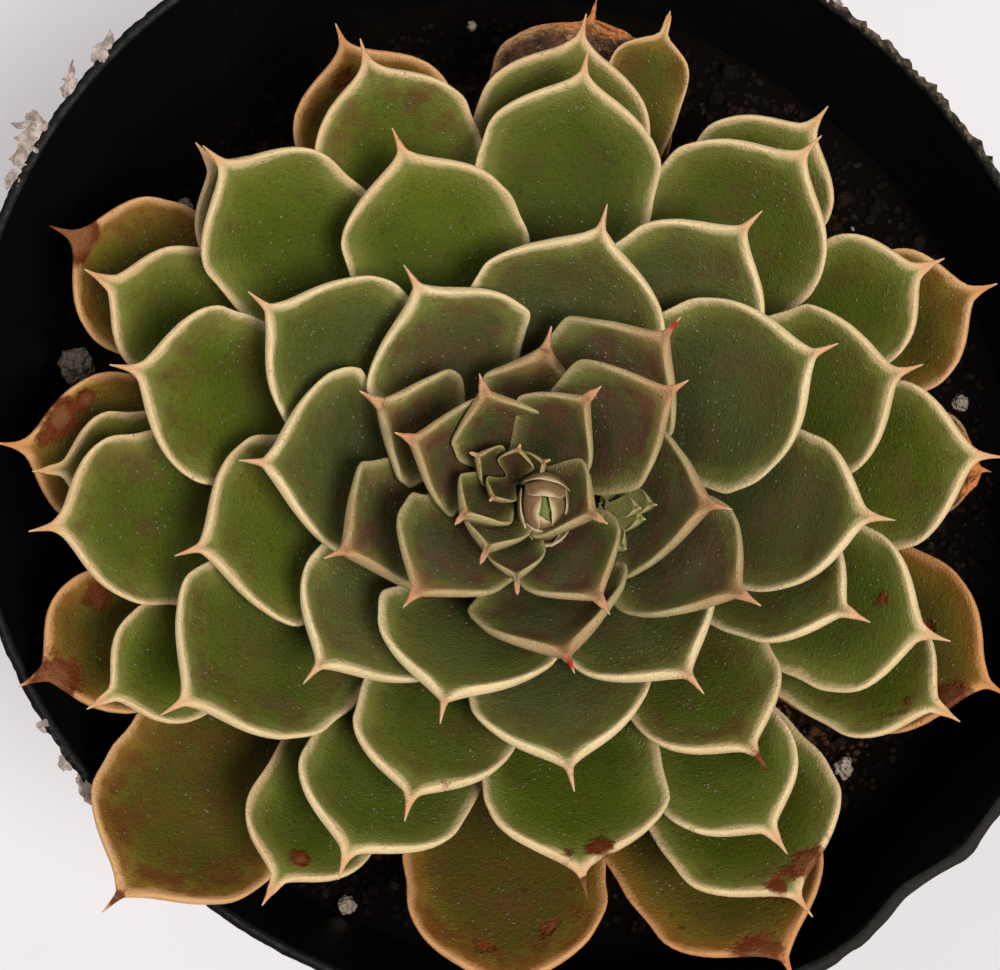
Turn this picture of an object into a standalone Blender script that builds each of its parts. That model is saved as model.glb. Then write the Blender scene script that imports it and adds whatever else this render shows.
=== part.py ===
"""Echeveria rosette growing in a round nursery pot.

The origin is the centre of the pot's base, +Z runs up the pot. Lengths are in metres.
The leaf rows are written in plant units: one unit is a sixtieth of the pot's rim radius,
so the rosette keeps its place over the rim when the pot is made wider or narrower.
"""

import math

import bpy
from mathutils import Vector
from mathutils.bvhtree import BVHTree

GAP = 0.0003  # clearance between two pieces that touch

# Pot: thin tapered wall, flat base with drain holes, rim a little out of round.
POT_HEIGHT = 0.100
RIM_RADIUS = 0.060
BASE_RADIUS = 0.043
WALL = 0.0012
FLOOR = 0.0018
FOOT_ROUND = 0.003  # height and depth of the slope between base and wall
RIM_OUT_OF_ROUND = 0.0026  # the long radius of the rim over its mean
LONG_AXIS = math.radians(135)  # direction of the long radius, counted from +X
POT_SIDES = 56
DRAIN_HOLES = 6
DRAIN_RADIUS = 0.0042
DRAIN_CIRCLE = 0.030

# Soil: fills the pot up to a low, uneven surface.
SOIL_BELOW_RIM = 0.024
SOIL_RISE = 0.0015  # how far the surface rises from the wall towards the stem
SOIL_UNEVEN = 0.0009
SOIL_SIDES = 40

UNIT = RIM_RADIUS / 60  # one plant unit

# Stem: short tapered stalk that stands in the soil and leans a little towards -Y.
PLANT_AT_RIM = Vector((-1.9, -3.2, 0)) * UNIT  # where its axis crosses the rim's level
STEM_LEAN = Vector((0, -0.108, 0))  # sideways travel of the axis for each metre of height
STEM_IN_SOIL = 9 * UNIT
STEM_OVER_RIM = 15 * UNIT  # the leaves and the rim are set out from the same level
STEM_FOOT_RADIUS = 5.2 * UNIT
STEM_TOP_RADIUS = 3.6 * UNIT
STEM_SIDES = 14

# Leaf: thick spoon-shaped blade, cupped above, keeled below, ending in a slender point.
# Each row: share of the blade's length, of its half width, of its thickness.
BLADE = (
    (0.00, 0.00, 0.60),
    (0.30, 0.55, 0.95),
    (0.55, 0.90, 1.00),
    (0.74, 1.00, 0.88),
    (0.88, 0.90, 0.70),
    (0.965, 0.58, 0.50),
)
ROOT_HALF_WIDTH = 2.6 * UNIT
CUP = 0.11  # height of the blade's edges over its middle, as a share of its width
EDGE_THICKNESS = 0.9 * UNIT
POINT_HALF_WIDTH = 0.75 * UNIT  # where the slender point leaves the blade
POINT_THICKNESS = 1.1 * UNIT
POINT_LENGTH = 3.4 * UNIT
POINT_END = 0.22 * UNIT  # half width of the blunt end of the point
POINT_BEND = math.radians(24)  # how far the point turns down from the blade's end
ACROSS_TOP = (-1, -0.5, 0, 0.5, 1)  # section points, in shares of the half width
ACROSS_BOTTOM = (0.86, 0, -0.86)
RING = len(ACROSS_TOP) + len(ACROSS_BOTTOM)

# Rosette: leaves leave the stem one after another, each a step below the one before.
FIRST_LEAF_BELOW_TOP = 1.5 * UNIT
LEAF_STEP = 0.60 * UNIT
STEM_CLEARANCE = 0.5 * UNIT
TILT_STEP = math.radians(1.5)
TILT_RANGE = 16  # most tilt steps that a leaf gives way before it also moves down
DROP_STEP = 0.4 * UNIT
MOST_DROPS = 12
ROLLS = tuple(math.radians(turn) for turn in (0, 6, -6, 12, -12))
SOUTH_STANDS_UP = math.radians(3)  # leaves on the -Y side stand steeper by this much

# Each ring: tilt of its leaves, curl along the blade, both in degrees, blade thickness,
# height of its tips over the rim, then a row for each leaf from the uppermost down:
# direction in degrees from +X, reach of the tip from the plant's axis, blade width.
RINGS = {
    "k": (45, 18, 2.3, 23, (
        (76, 15.5, 15.5), (150, 17, 14.5), (204, 19.5, 17), (287, 19.7, 17),
        (351, 21, 16.5), (44, 22.5, 18), (332, 26.5, 14.5),
    )),
    "l": (35, 16, 2.6, 18, (
        (117, 23.5, 19.5), (254, 25, 18.5), (177, 26.5, 19.5), (311, 28, 18),
        (71, 28.5, 20), (225, 28.5, 18), (281, 31, 18.5), (145, 31.5, 18.5),
        (22, 34, 19), (47, 36, 18.5), (353, 37, 16.5), (338, 37.5, 14.5),
    )),
    "m": (30, 13, 2.6, 12, (
        (194, 34, 19.5), (253, 35.5, 16.5), (109, 37, 18.5), (311, 38.5, 16.5),
        (165, 41, 17.5), (215, 41.5, 20.5), (280, 42, 19), (15, 42, 17.5),
        (247, 43, 17.5), (80, 44, 19), (133, 45.5, 18), (339, 46, 16.5),
        (306, 46, 15), (48, 46.5, 20), (2, 48.5, 17.5),
    )),
    "n": (26, 10, 2.4, 7, (
        (187, 48.5, 18), (109, 48, 17.5), (154, 48.5, 15), (81, 49, 19),
        (27, 49.5, 15), (133, 48, 15), (209, 48.5, 13), (240, 49.5, 14),
        (331, 51, 14), (50, 51, 16), (304, 53, 19), (179, 49, 13),
    )),
    "o": (23, 8, 2.2, 2, (
        (111, 52, 18), (176, 53.5, 16.5), (22, 54.5, 15.5), (203, 55, 15.5),
        (151, 55.5, 17), (336, 55.5, 20), (269, 55, 21), (299, 58.5, 21),
        (227, 60.5, 22),
    )),
}

# Heart: the youngest leaves, grown together round the growing tip, uppermost first:
# direction, reach, width, tilt in degrees, height of the leaf's foot over the stem's top.
HEART_CORE_RADIUS = 3.2 * UNIT
HEART_CORE_HEIGHT = 7.5 * UNIT
HEART_LEAF_THICKNESS = 1.7 * UNIT
HEART_FULL_WIDTH = 8  # a narrower leaf is thinner in proportion, in plant units
HEART_ROOT_HALF_WIDTH = 1.6 * UNIT
HEART_CURL = math.radians(12)
HEART_TIP_HEIGHT = 26  # over the rim, in plant units
HEART_LEAVES = (
    (226, 3.2, 3.6, 62, 6.4), (78, 3.4, 3.8, 62, 6.0), (27, 4.0, 3.8, 58, 5.6),
    (149, 4.8, 4.6, 56, 5.2), (221, 7.2, 7.2, 54, 4.6), (250, 9.0, 7.0, 50, 4.0),
    (332, 10, 9.5, 49, 3.6), (45, 11.7, 10.5, 48, 3.2), (272, 11.4, 5.7, 47, 2.8),
    (108, 10.2, 11.5, 50, 2.6), (160, 11.8, 12.5, 47, 2.2), (304, 16, 11.5, 42, 1.8),
    (231, 16.2, 13.4, 42, 1.5), (28, 18.6, 14.3, 40, 1.2),
)

# Flower bud: a young stalk of small scales that stands in a pocket of the heart.
BUD_PLACE = Vector((2.9, -3.1, 0)) * UNIT  # from the plant's axis
BUD_RADIUS = 1.3 * UNIT
BUD_HEIGHT = 4.6 * UNIT
BUD_FOOT = 7.6 * UNIT  # over the stem's top
BUD_SCALES = 5
BUD_SCALE_WIDTH = 2.0 * UNIT
BUD_SCALE_THICKNESS = 0.6 * UNIT
BUD_SCALE_REACH = 2.3 * UNIT
BUD_SCALE_TILT = math.radians(62)
BUD_SCALE_FOOT = BUD_HEIGHT * 0.32  # of the uppermost scale, over the bud's foot
BUD_SCALE_STEP = BUD_HEIGHT * 0.05
GOLDEN_ANGLE = math.radians(137.5)

SOIL_TOP = POT_HEIGHT - SOIL_BELOW_RIM
STEM_TOP = POT_HEIGHT + STEM_OVER_RIM

for old in list(bpy.data.objects):
    bpy.data.objects.remove(old, do_unlink=True)
scene = bpy.context.scene
parts = bpy.data.collections.new("potted_succulent")
cutters = bpy.data.collections.new("cutters")
scene.collection.children.link(parts)
scene.collection.children.link(cutters)


def finish(name, colour, roughness):
    """A plain material of one colour."""
    material = bpy.data.materials.new(name)
    material.use_nodes = True
    shader = material.node_tree.nodes["Principled BSDF"]
    shader.inputs["Base Color"].default_value = (*colour, 1)
    shader.inputs["Roughness"].default_value = roughness
    return material


def add(name, points, edges, faces, material, into=parts):
    """A mesh object, shaded smooth. Everything outside the parts is a hidden helper."""
    mesh = bpy.data.meshes.new(name)
    mesh.from_pydata([tuple(point) for point in points], edges, faces)
    mesh.shade_smooth()
    mesh.materials.append(material)
    made = bpy.data.objects.new(name, mesh)
    into.objects.link(made)
    if into is not parts:
        made.hide_render = True
        made.display_type = "WIRE"
    return made


def turned(name, profile, sides, material, into=parts):
    """A round piece: the profile, from top to bottom at +X, swept once about Z."""
    edges = [(i, i + 1) for i in range(len(profile) - 1)]
    made = add(name, [(x, 0, z) for x, z in profile], edges, [], material, into)
    screw = made.modifiers.new("sweep", "SCREW")
    screw.steps = sides
    screw.render_steps = sides
    screw.use_merge_vertices = True
    screw.merge_threshold = 0.00005
    screw.use_smooth_shade = True
    settle(made)
    return made


def settle(made):
    """Turns the modifiers of an object into plain mesh."""
    bpy.context.view_layer.update()
    solved = made.evaluated_get(bpy.context.evaluated_depsgraph_get())
    mesh = bpy.data.meshes.new_from_object(solved)
    made.modifiers.clear()
    made.data = mesh


def cut(body, tool, operation="DIFFERENCE"):
    """An exact Boolean of the body with another object or with a whole collection."""
    boolean = body.modifiers.new(operation.lower(), "BOOLEAN")
    boolean.solver = "EXACT"
    boolean.operation = operation
    if isinstance(tool, bpy.types.Collection):
        boolean.operand_type = "COLLECTION"
        boolean.collection = tool
    else:
        boolean.object = tool
    settle(body)


def out_of_round(made):
    """Draws a round piece out along the long axis, most at the rim and not at the base."""
    for vertex in made.data.vertices:
        across = Vector((vertex.co.x, vertex.co.y))
        turn = math.atan2(across.y, across.x) - LONG_AXIS
        rise = max(0, vertex.co.z / POT_HEIGHT)
        grow = 1 + RIM_OUT_OF_ROUND / RIM_RADIUS * math.cos(2 * turn) * rise
        vertex.co.x = across.x * grow
        vertex.co.y = across.y * grow


def outer_radius(height):
    """Radius of the pot's outside at a height over the slope of the foot."""
    share = (height - FOOT_ROUND) / (POT_HEIGHT - FOOT_ROUND)
    return BASE_RADIUS + (RIM_RADIUS - BASE_RADIUS) * share


def stem_axis(height):
    """Point of the plant's axis at a height."""
    return PLANT_AT_RIM + STEM_LEAN * (height - POT_HEIGHT) + Vector((0, 0, height))


def stem_radius(height):
    share = (height - SOIL_TOP) / (STEM_TOP - SOIL_TOP)
    return STEM_FOOT_RADIUS + (STEM_TOP_RADIUS - STEM_FOOT_RADIUS) * share


def pot():
    inner_foot = BASE_RADIUS - WALL
    profile = (
        (RIM_RADIUS, POT_HEIGHT),
        (BASE_RADIUS, FOOT_ROUND),
        (BASE_RADIUS - FOOT_ROUND, 0),
        (0, 0),
    )
    inside = (
        (0, FLOOR),
        (inner_foot - FOOT_ROUND / 2, FLOOR),
        (inner_foot, FOOT_ROUND + FLOOR / 2),
        (RIM_RADIUS - WALL, POT_HEIGHT),
    )
    made = turned("pot", profile + inside + profile[:1], POT_SIDES, black_plastic)
    for i in range(DRAIN_HOLES):
        turn = 2 * math.pi * i / DRAIN_HOLES
        hole = turned(
            f"drain_{i + 1}",
            ((0, 2 * FLOOR), (DRAIN_RADIUS, 2 * FLOOR), (DRAIN_RADIUS, -FLOOR), (0, -FLOOR)),
            16, black_plastic, cutters,
        )
        middle = Vector((math.cos(turn), math.sin(turn), 0)) * DRAIN_CIRCLE
        for vertex in hole.data.vertices:
            vertex.co += middle
        cut(made, hole)
    out_of_round(made)
    return made


def soil():
    wall_slope = (RIM_RADIUS - BASE_RADIUS) / (POT_HEIGHT - FOOT_ROUND)
    clear = WALL + 2 * GAP
    top_radius = outer_radius(SOIL_TOP) - clear
    low = FOOT_ROUND + FLOOR / 2
    low_radius = BASE_RADIUS + wall_slope * (low - FOOT_ROUND) - clear
    foot_radius = BASE_RADIUS - WALL - FOOT_ROUND / 2 - GAP
    profile = (
        (0, SOIL_TOP + SOIL_RISE),
        (top_radius * 0.2, SOIL_TOP + SOIL_RISE * 0.9),
        (top_radius * 0.45, SOIL_TOP + SOIL_RISE * 0.55),
        (top_radius * 0.7, SOIL_TOP + SOIL_RISE * 0.2),
        (top_radius * 0.9, SOIL_TOP),
        (top_radius, SOIL_TOP),
        (low_radius, low + 2 * GAP),
        (foot_radius, FLOOR + GAP),
        (0, FLOOR + GAP),
    )
    made = turned("soil", profile, SOIL_SIDES, earth)
    for vertex in made.data.vertices:
        x, y, z = vertex.co / UNIT
        if vertex.co.z > SOIL_TOP - SOIL_UNEVEN:
            wave = math.sin(x * 0.31 + 1) * math.cos(y * 0.27) + math.sin(y * 0.53 + x * 0.2) / 2
            vertex.co.z += SOIL_UNEVEN * wave
    out_of_round(made)
    cut(made, stem_piece("stem_well", GAP, earth, cutters))
    return made


def stem_piece(name, swell, material, into=parts):
    """The stem, or with a swell the well that it stands in."""
    foot = SOIL_TOP - STEM_IN_SOIL
    rows = (
        (0, STEM_TOP),
        (STEM_TOP_RADIUS + swell, STEM_TOP),
        (stem_radius(SOIL_TOP) + swell, SOIL_TOP),
        (stem_radius(foot) + swell, foot - swell),
        (0, foot - swell),
    )
    made = turned(name, rows, STEM_SIDES, material, into)
    for vertex in made.data.vertices:
        axis = stem_axis(vertex.co.z)
        vertex.co.x += axis.x
        vertex.co.y += axis.y
    return made


def leaf_sections(foot, heading, run, width, thickness, tilt, curl, roll, root):
    """Sections of a leaf whose blade and point together travel `run` outwards."""
    outward = Vector((math.cos(heading), math.sin(heading), 0))
    level_side = Vector((-outward.y, outward.x, 0))
    half = width / 2
    end_tilt = tilt + curl
    point_tilt = end_tilt - POINT_BEND
    shares = [row[0] for row in BLADE] + [1]
    tilts = [tilt + curl * (2 * share - 1) for share in shares]
    level = sum(
        math.cos((tilts[i] + tilts[i + 1]) / 2) * (shares[i + 1] - shares[i])
        for i in range(len(shares) - 1)
    )
    point = min(POINT_LENGTH, run * 0.3)
    blade = max(run - point * math.cos(point_tilt), run * 0.3) / level
    sections = []
    place = foot.copy()
    for i, share in enumerate(shares):
        if i:
            mean = (tilts[i - 1] + tilts[i]) / 2
            step = blade * (share - shares[i - 1])
            place = place + (outward * math.cos(mean) + Vector((0, 0, math.sin(mean)))) * step
        if i < len(BLADE):
            reach = max(half * BLADE[i][1], min(root, half * 0.8) if i == 0 else 0)
            thick = thickness * BLADE[i][2]
        else:
            reach = min(POINT_HALF_WIDTH, half * 0.3)
            thick = min(POINT_THICKNESS, thickness * 0.6)
        up_tilt = tilts[i] if i else 0
        level_up = Vector((0, 0, math.cos(up_tilt))) - outward * math.sin(up_tilt)
        turn = roll * min(1, 2 * share)
        side = level_side * math.cos(turn) + level_up * math.sin(turn)
        up = level_up * math.cos(turn) - level_side * math.sin(turn)
        sections.append(section(place, side, up, reach, thick, half, width))
    place = place + (outward * math.cos(point_tilt) + Vector((0, 0, math.sin(point_tilt)))) * point
    level_up = Vector((0, 0, math.cos(point_tilt))) - outward * math.sin(point_tilt)
    up = level_up * math.cos(roll) - level_side * math.sin(roll)
    sections.append(section(place, side, up, POINT_END, 2 * POINT_END, half, width))
    return sections


def section(place, side, up, reach, thick, half, width):
    """One closed section: cupped top edge to edge, then the keeled underside."""
    edge = min(EDGE_THICKNESS, thick * 0.7)
    row = []
    for across in ACROSS_TOP:
        rise = CUP * width * (across * reach / half) ** 2
        row.append(place + side * (across * reach) + up * (rise + thick / 2))
    for across in ACROSS_BOTTOM:
        rise = CUP * width * (across * reach / half) ** 2
        deep = edge + (thick - edge) * (1 - across * across)
        row.append(place + side * (across * reach) + up * (rise + thick / 2 - deep))
    return row


def swollen(sections, by):
    """The same sections, each grown outwards by a clearance."""
    grown = []
    for row in sections:
        middle = sum(row, Vector()) / RING
        grown.append([point + (point - middle).normalized() * by for point in row])
    return grown


def loft_faces(count):
    """Faces that join sections of one size end to end and close both ends."""
    faces = [tuple(range(RING)), tuple(reversed(range((count - 1) * RING, count * RING)))]
    for i in range(count - 1):
        for j in range(RING):
            a = i * RING + j
            b = i * RING + (j + 1) % RING
            faces += [(a, a + RING, b + RING), (a, b + RING, b)]
    return faces


def loft(name, sections, material, into=parts):
    """One closed piece through the sections of a leaf."""
    points = [point for row in sections for point in row]
    return add(name, points, [], loft_faces(len(sections)), material, into)


def tree(sections):
    points = [point for row in sections for point in row]
    return BVHTree.FromPolygons(points, loft_faces(len(sections)))


def tree_of(made):
    mesh = made.data
    return BVHTree.FromPolygons(
        [vertex.co for vertex in mesh.vertices], [tuple(p.vertices) for p in mesh.polygons]
    )


def tip_place(row, tip_height):
    """Level position of a leaf's tip, from its direction and reach about the axis."""
    turn = math.radians(row[0])
    axis = stem_axis(POT_HEIGHT + tip_height * UNIT)
    return Vector((axis.x, axis.y, 0)) + Vector((math.cos(turn), math.sin(turn), 0)) * row[1] * UNIT


def placed_leaf(row, foot_height, tilt, curl, thickness, tip_height):
    """The highest and steepest leaf for its row that clears the pieces placed before it."""
    tip = tip_place(row, tip_height)
    for drop in range(MOST_DROPS):
        height = foot_height - drop * DROP_STEP
        axis = stem_axis(height)
        level = Vector((tip.x - axis.x, tip.y - axis.y, 0))
        heading = math.atan2(level.y, level.x)
        start = stem_radius(height) + STEM_CLEARANCE
        foot = axis + level.normalized() * start
        for give in range(TILT_RANGE):
            for roll in ROLLS:
                made = leaf_sections(
                    foot, heading, level.length - start, row[2] * UNIT, thickness,
                    tilt - give * TILT_STEP, curl, roll, ROOT_HALF_WIDTH,
                )
                trial = tree(swollen(made, GAP))
                if not any(trial.overlap(other) for other in obstacles):
                    return made
    return made


black_plastic = finish("black_plastic", (0.012, 0.012, 0.013), 0.55)
earth = finish("soil", (0.055, 0.028, 0.014), 0.95)
stem_skin = finish("stem_skin", (0.20, 0.15, 0.09), 0.8)
young_leaf = finish("young_leaf", (0.16, 0.15, 0.12), 0.5)
green_leaf = finish("green_leaf", (0.10, 0.16, 0.045), 0.45)
old_leaf = finish("old_leaf", (0.15, 0.13, 0.04), 0.5)
bud_scale = finish("bud_scale", (0.35, 0.38, 0.20), 0.5)

obstacles = [tree_of(pot()), tree_of(soil()), tree_of(stem_piece("stem", 0, stem_skin))]

# Heart: a blunt core on top of the stem, with the youngest leaves joined to it.
core = turned(
    "heart",
    (
        (0, STEM_TOP + HEART_CORE_HEIGHT),
        (HEART_CORE_RADIUS * 0.45, STEM_TOP + HEART_CORE_HEIGHT * 0.9),
        (HEART_CORE_RADIUS, STEM_TOP + HEART_CORE_HEIGHT * 0.3),
        (HEART_CORE_RADIUS * 0.9, STEM_TOP + GAP),
        (0, STEM_TOP + GAP),
    ),
    STEM_SIDES, young_leaf,
)
for vertex in core.data.vertices:
    vertex.co += PLANT_AT_RIM + STEM_LEAN * (vertex.co.z - POT_HEIGHT)
heart_leaves = bpy.data.collections.new("heart_leaves")
cutters.children.link(heart_leaves)
for i, (turn, reach, width, lean, rise) in enumerate(HEART_LEAVES):
    foot_height = STEM_TOP + rise * UNIT
    tip = tip_place((turn, reach), HEART_TIP_HEIGHT)
    foot = stem_axis(foot_height)
    level = Vector((tip.x - foot.x, tip.y - foot.y, 0))
    rows = leaf_sections(
        foot, math.atan2(level.y, level.x), level.length, width * UNIT,
        HEART_LEAF_THICKNESS * min(1, width / HEART_FULL_WIDTH), math.radians(lean), HEART_CURL,
        0, HEART_ROOT_HALF_WIDTH,
    )
    loft(f"heart_leaf_{i + 1}", rows, young_leaf, heart_leaves)
    obstacles.append(tree(rows))
cut(core, heart_leaves, "UNION")

# Flower bud: an egg of closed scales, standing clear in a pocket that is cut for it.
bud_foot = stem_axis(STEM_TOP + BUD_FOOT) + BUD_PLACE
bud_profile = (
    (0, BUD_HEIGHT), (BUD_RADIUS * 0.6, BUD_HEIGHT * 0.85), (BUD_RADIUS, BUD_HEIGHT * 0.4),
    (BUD_RADIUS * 0.6, 0), (0, 0),
)
bud = turned("flower_bud", bud_profile, 12, bud_scale)
bud_scales = bpy.data.collections.new("bud_scales")
cutters.children.link(bud_scales)
for i in range(BUD_SCALES):
    rows = leaf_sections(
        Vector((0, 0, BUD_SCALE_FOOT - BUD_SCALE_STEP * i)), GOLDEN_ANGLE * i, BUD_SCALE_REACH,
        BUD_SCALE_WIDTH, BUD_SCALE_THICKNESS, BUD_SCALE_TILT, HEART_CURL, 0,
        BUD_SCALE_WIDTH * 0.4,
    )
    loft(f"bud_scale_{i + 1}", rows, bud_scale, bud_scales)
cut(bud, bud_scales, "UNION")
pocket_radius = BUD_SCALE_REACH + 2 * GAP
pocket = turned(
    "bud_pocket",
    (
        (0, 4 * BUD_HEIGHT), (pocket_radius, 4 * BUD_HEIGHT), (pocket_radius, BUD_HEIGHT * 0.5),
        (BUD_RADIUS * 0.6 + 2 * GAP, -GAP), (0, -GAP),
    ),
    12, young_leaf, cutters,
)
for made in (bud, pocket):
    for vertex in made.data.vertices:
        vertex.co += bud_foot
cut(core, pocket)

# Leaves, one piece each, from the uppermost ring down.
number = 0
for ring, (lean, curl, thickness, tip_height, leaf_rows) in RINGS.items():
    skin = old_leaf if ring == "o" else green_leaf
    for row in leaf_rows:
        south = -math.sin(math.radians(row[0]))
        rows = placed_leaf(
            row, STEM_TOP - FIRST_LEAF_BELOW_TOP - number * LEAF_STEP,
            math.radians(lean) + SOUTH_STANDS_UP * south, math.radians(curl),
            thickness * UNIT, tip_height,
        )
        number += 1
        loft(f"leaf_{number:02d}", rows, skin)
        obstacles.append(tree(rows))
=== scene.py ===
import math
import random

import bmesh
import bpy
import numpy as np
from mathutils import Matrix, Vector, noise
from mathutils.bvhtree import BVHTree


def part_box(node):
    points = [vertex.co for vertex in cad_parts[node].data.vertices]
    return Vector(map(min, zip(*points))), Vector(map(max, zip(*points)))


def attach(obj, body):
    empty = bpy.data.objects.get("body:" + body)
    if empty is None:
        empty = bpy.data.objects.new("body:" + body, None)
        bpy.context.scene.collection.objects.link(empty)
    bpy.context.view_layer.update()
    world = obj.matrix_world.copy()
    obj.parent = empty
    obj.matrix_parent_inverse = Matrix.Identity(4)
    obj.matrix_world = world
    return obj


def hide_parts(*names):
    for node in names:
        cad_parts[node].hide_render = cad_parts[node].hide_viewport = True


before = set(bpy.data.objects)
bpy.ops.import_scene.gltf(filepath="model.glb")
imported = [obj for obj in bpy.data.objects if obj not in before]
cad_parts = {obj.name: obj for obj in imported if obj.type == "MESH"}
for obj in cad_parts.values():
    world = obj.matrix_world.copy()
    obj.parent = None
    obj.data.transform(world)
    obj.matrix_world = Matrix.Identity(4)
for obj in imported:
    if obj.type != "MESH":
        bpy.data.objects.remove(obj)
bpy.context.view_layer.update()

# Pot: one thin tapered shell of soft black polypropylene, injection moulded with a flat base.
# Its rim is torn and scuffed, and hard water has left lime and grit crusted along it.
MM = 0.001
POT_AROUND = 720
WALL = 1.2 * MM
FLOOR = 1.8 * MM
FOOT_ROUND = 3.0 * MM
DRAIN_HOLES = 6
DRAIN_RADIUS = 4.2 * MM
DRAIN_CIRCLE = 30 * MM
PANEL_RADIUS = 22.5 * MM  # middle of the base, which is moulded a little higher
PANEL_RISE = 0.5 * MM
PANEL_SLOPE = 1.5 * MM
CRUST_ARCS = ((46, 34, 1.0), (215, 40, 0.25))  # middle and half of an arc in degrees, and force
LIME_ARCS = ((146, 24, 1.0), (222, 18, 1.0))
SCUFF_ARCS = ((312, 46, 1.0),)
KINK_ARC = (310, 9)  # where the rim has been bent in
KINK_DEEP = 1.5 * MM
KINK_TALL = 20 * MM
TORN_TALL = 4 * MM  # how far down the tears and the crust reach
RIM_ARC = 60  # mm of rim to a radian
WALL_DEPTHS = (  # mm below the rim of the wall's rows of points
    0.12, 0.45, 0.9, 1.4, 2.0, 2.7, 3.5, 4.5, 6, 9, 14, 20, 28, 38, 50, 62, 74, 86, 94,
)
pot_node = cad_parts["pot"]
POT_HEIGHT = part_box("pot")[1].z
pot_points = np.array([vertex.co for vertex in pot_node.data.vertices])
base_ring = pot_points[np.abs(pot_points[:, 2] - FOOT_ROUND) < 0.05 * MM]
BASE_RADIUS = float(np.hypot(base_ring[:, 0], base_ring[:, 1]).max())
top_ring = pot_points[pot_points[:, 2] > POT_HEIGHT - 0.05 * MM]
top_reach = np.hypot(top_ring[:, 0], top_ring[:, 1])
top_turn = np.arctan2(top_ring[:, 1], top_ring[:, 0])
outer = top_reach > top_reach.mean()
waves = [np.ones(int(outer.sum())), np.cos(2 * top_turn[outer]), np.sin(2 * top_turn[outer])]
RIM_MEAN, RIM_COS, RIM_SIN = np.linalg.lstsq(np.stack(waves, 1), top_reach[outer], rcond=None)[0]


def rim_reach(turn):
    """Outer radius of the oval rim in a direction."""
    return RIM_MEAN + RIM_COS * math.cos(2 * turn) + RIM_SIN * math.sin(2 * turn)


def wall_reach(turn, height):
    """Outer radius of the tapered wall in a direction, at a height over the foot."""
    share = (height - FOOT_ROUND) / (POT_HEIGHT - FOOT_ROUND)
    return BASE_RADIUS + (rim_reach(turn) - BASE_RADIUS) * share


def smooth(share):
    """Smooth rise from 0 to 1, of a share that goes from 0 to 1."""
    return share * share * (3 - 2 * share)


def near_turn(turn, middle, half):
    """1 in the middle of an arc of the rim, falling smoothly to 0 at its ends, in degrees."""
    away = abs((math.degrees(turn) - middle + 180) % 360 - 180)
    return smooth(max(0.0, 1 - away / half))


def on_arcs(turn, arcs):
    """Force, in a direction, of arcs of the rim."""
    return sum(force * near_turn(turn, middle, half) for middle, half, force in arcs)


class Look:
    """A socket in a material's node tree; sums and products of it add the nodes they need."""

    def __init__(self, tree, socket=None):
        self.tree = tree
        self.socket = socket

    def node(self, kind, settings=None, inputs=None, outlet=0):
        made = self.tree.nodes.new("ShaderNode" + kind)
        for key, value in (settings or {}).items():
            if key == "stops":
                while len(made.color_ramp.elements) < len(value):
                    made.color_ramp.elements.new(0.5)
                for element, (place, colour) in zip(made.color_ramp.elements, value):
                    element.position = place
                    element.color = (*colour, 1)
            else:
                setattr(made, key, value)
        for key, value in (inputs or {}).items():
            inlet = made.inputs[key]
            if isinstance(value, Look):
                self.tree.links.new(value.socket, inlet)
            elif inlet.type == "RGBA" and len(value) == 3:
                inlet.default_value = (*value, 1)
            else:
                inlet.default_value = value
        return Look(self.tree, made.outputs[outlet])

    def sum_of(self, operation, first, second):
        return self.node("Math", {"operation": operation}, {0: first, 1: second})

    def __add__(self, other):
        return self.sum_of("ADD", self, other)

    def __radd__(self, other):
        return self.sum_of("ADD", other, self)

    def __sub__(self, other):
        return self.sum_of("SUBTRACT", self, other)

    def __rsub__(self, other):
        return self.sum_of("SUBTRACT", other, self)

    def __mul__(self, other):
        return self.sum_of("MULTIPLY", self, other)

    def __rmul__(self, other):
        return self.sum_of("MULTIPLY", other, self)

    def __pow__(self, other):
        return self.sum_of("POWER", self, other)

    def step(self, low, high):
        """0 below low, 1 above high, and a smooth rise between them; turned round if low > high."""
        return self.node(
            "MapRange", {"interpolation_type": "SMOOTHSTEP"},
            {"Value": self, "From Min": low, "From Max": high},
        )

    def blend(self, first, second):
        """Colour that goes from first to second as this value goes from 0 to 1."""
        return self.node("Mix", {"data_type": "RGBA"}, {0: self, 6: first, 7: second}, 2)

    def attribute(self, name):
        return self.node("Attribute", {"attribute_name": name}, outlet=2)

    def place(self):
        return self.node("TexCoord", outlet=3)

    def grain(self, size, detail=3.0, rough=0.5, stretch=(1, 1, 1)):
        """Cloudy noise from 0 to 1 with lumps of a size in metres."""
        spot = self.node("Mapping", inputs={"Vector": self.place(), "Scale": stretch})
        return self.node(
            "TexNoise", None,
            {"Vector": spot, "Scale": 1 / size, "Detail": detail, "Roughness": rough},
        )

    def cells(self, size, outlet=0):
        """Distance to the middle of the nearest cell, or with outlet 1 the cell's own colour."""
        return self.node(
            "TexVoronoi", None, {"Vector": self.place(), "Scale": 1 / size}, outlet
        )


def finish(name, paint, roughness=0.5, **fixed):
    """A material: paint(look) gives its colour, roughness, and height and depth of its bump."""
    material = bpy.data.materials.new(name)
    material.use_nodes = True
    tree = material.node_tree
    shader = tree.nodes["Principled BSDF"]
    colour, rough, height, depth = paint(Look(tree))
    tree.links.new(colour.socket, shader.inputs["Base Color"])
    if rough is not None:
        tree.links.new(rough.socket, shader.inputs["Roughness"])
    else:
        shader.inputs["Roughness"].default_value = roughness
    bump = Look(tree).node("Bump", None, {"Strength": 1.0, "Distance": depth, "Height": height})
    tree.links.new(bump.socket, shader.inputs["Normal"])
    for key, value in fixed.items():
        shader.inputs[key.replace("_", " ")].default_value = value
    return material


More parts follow.
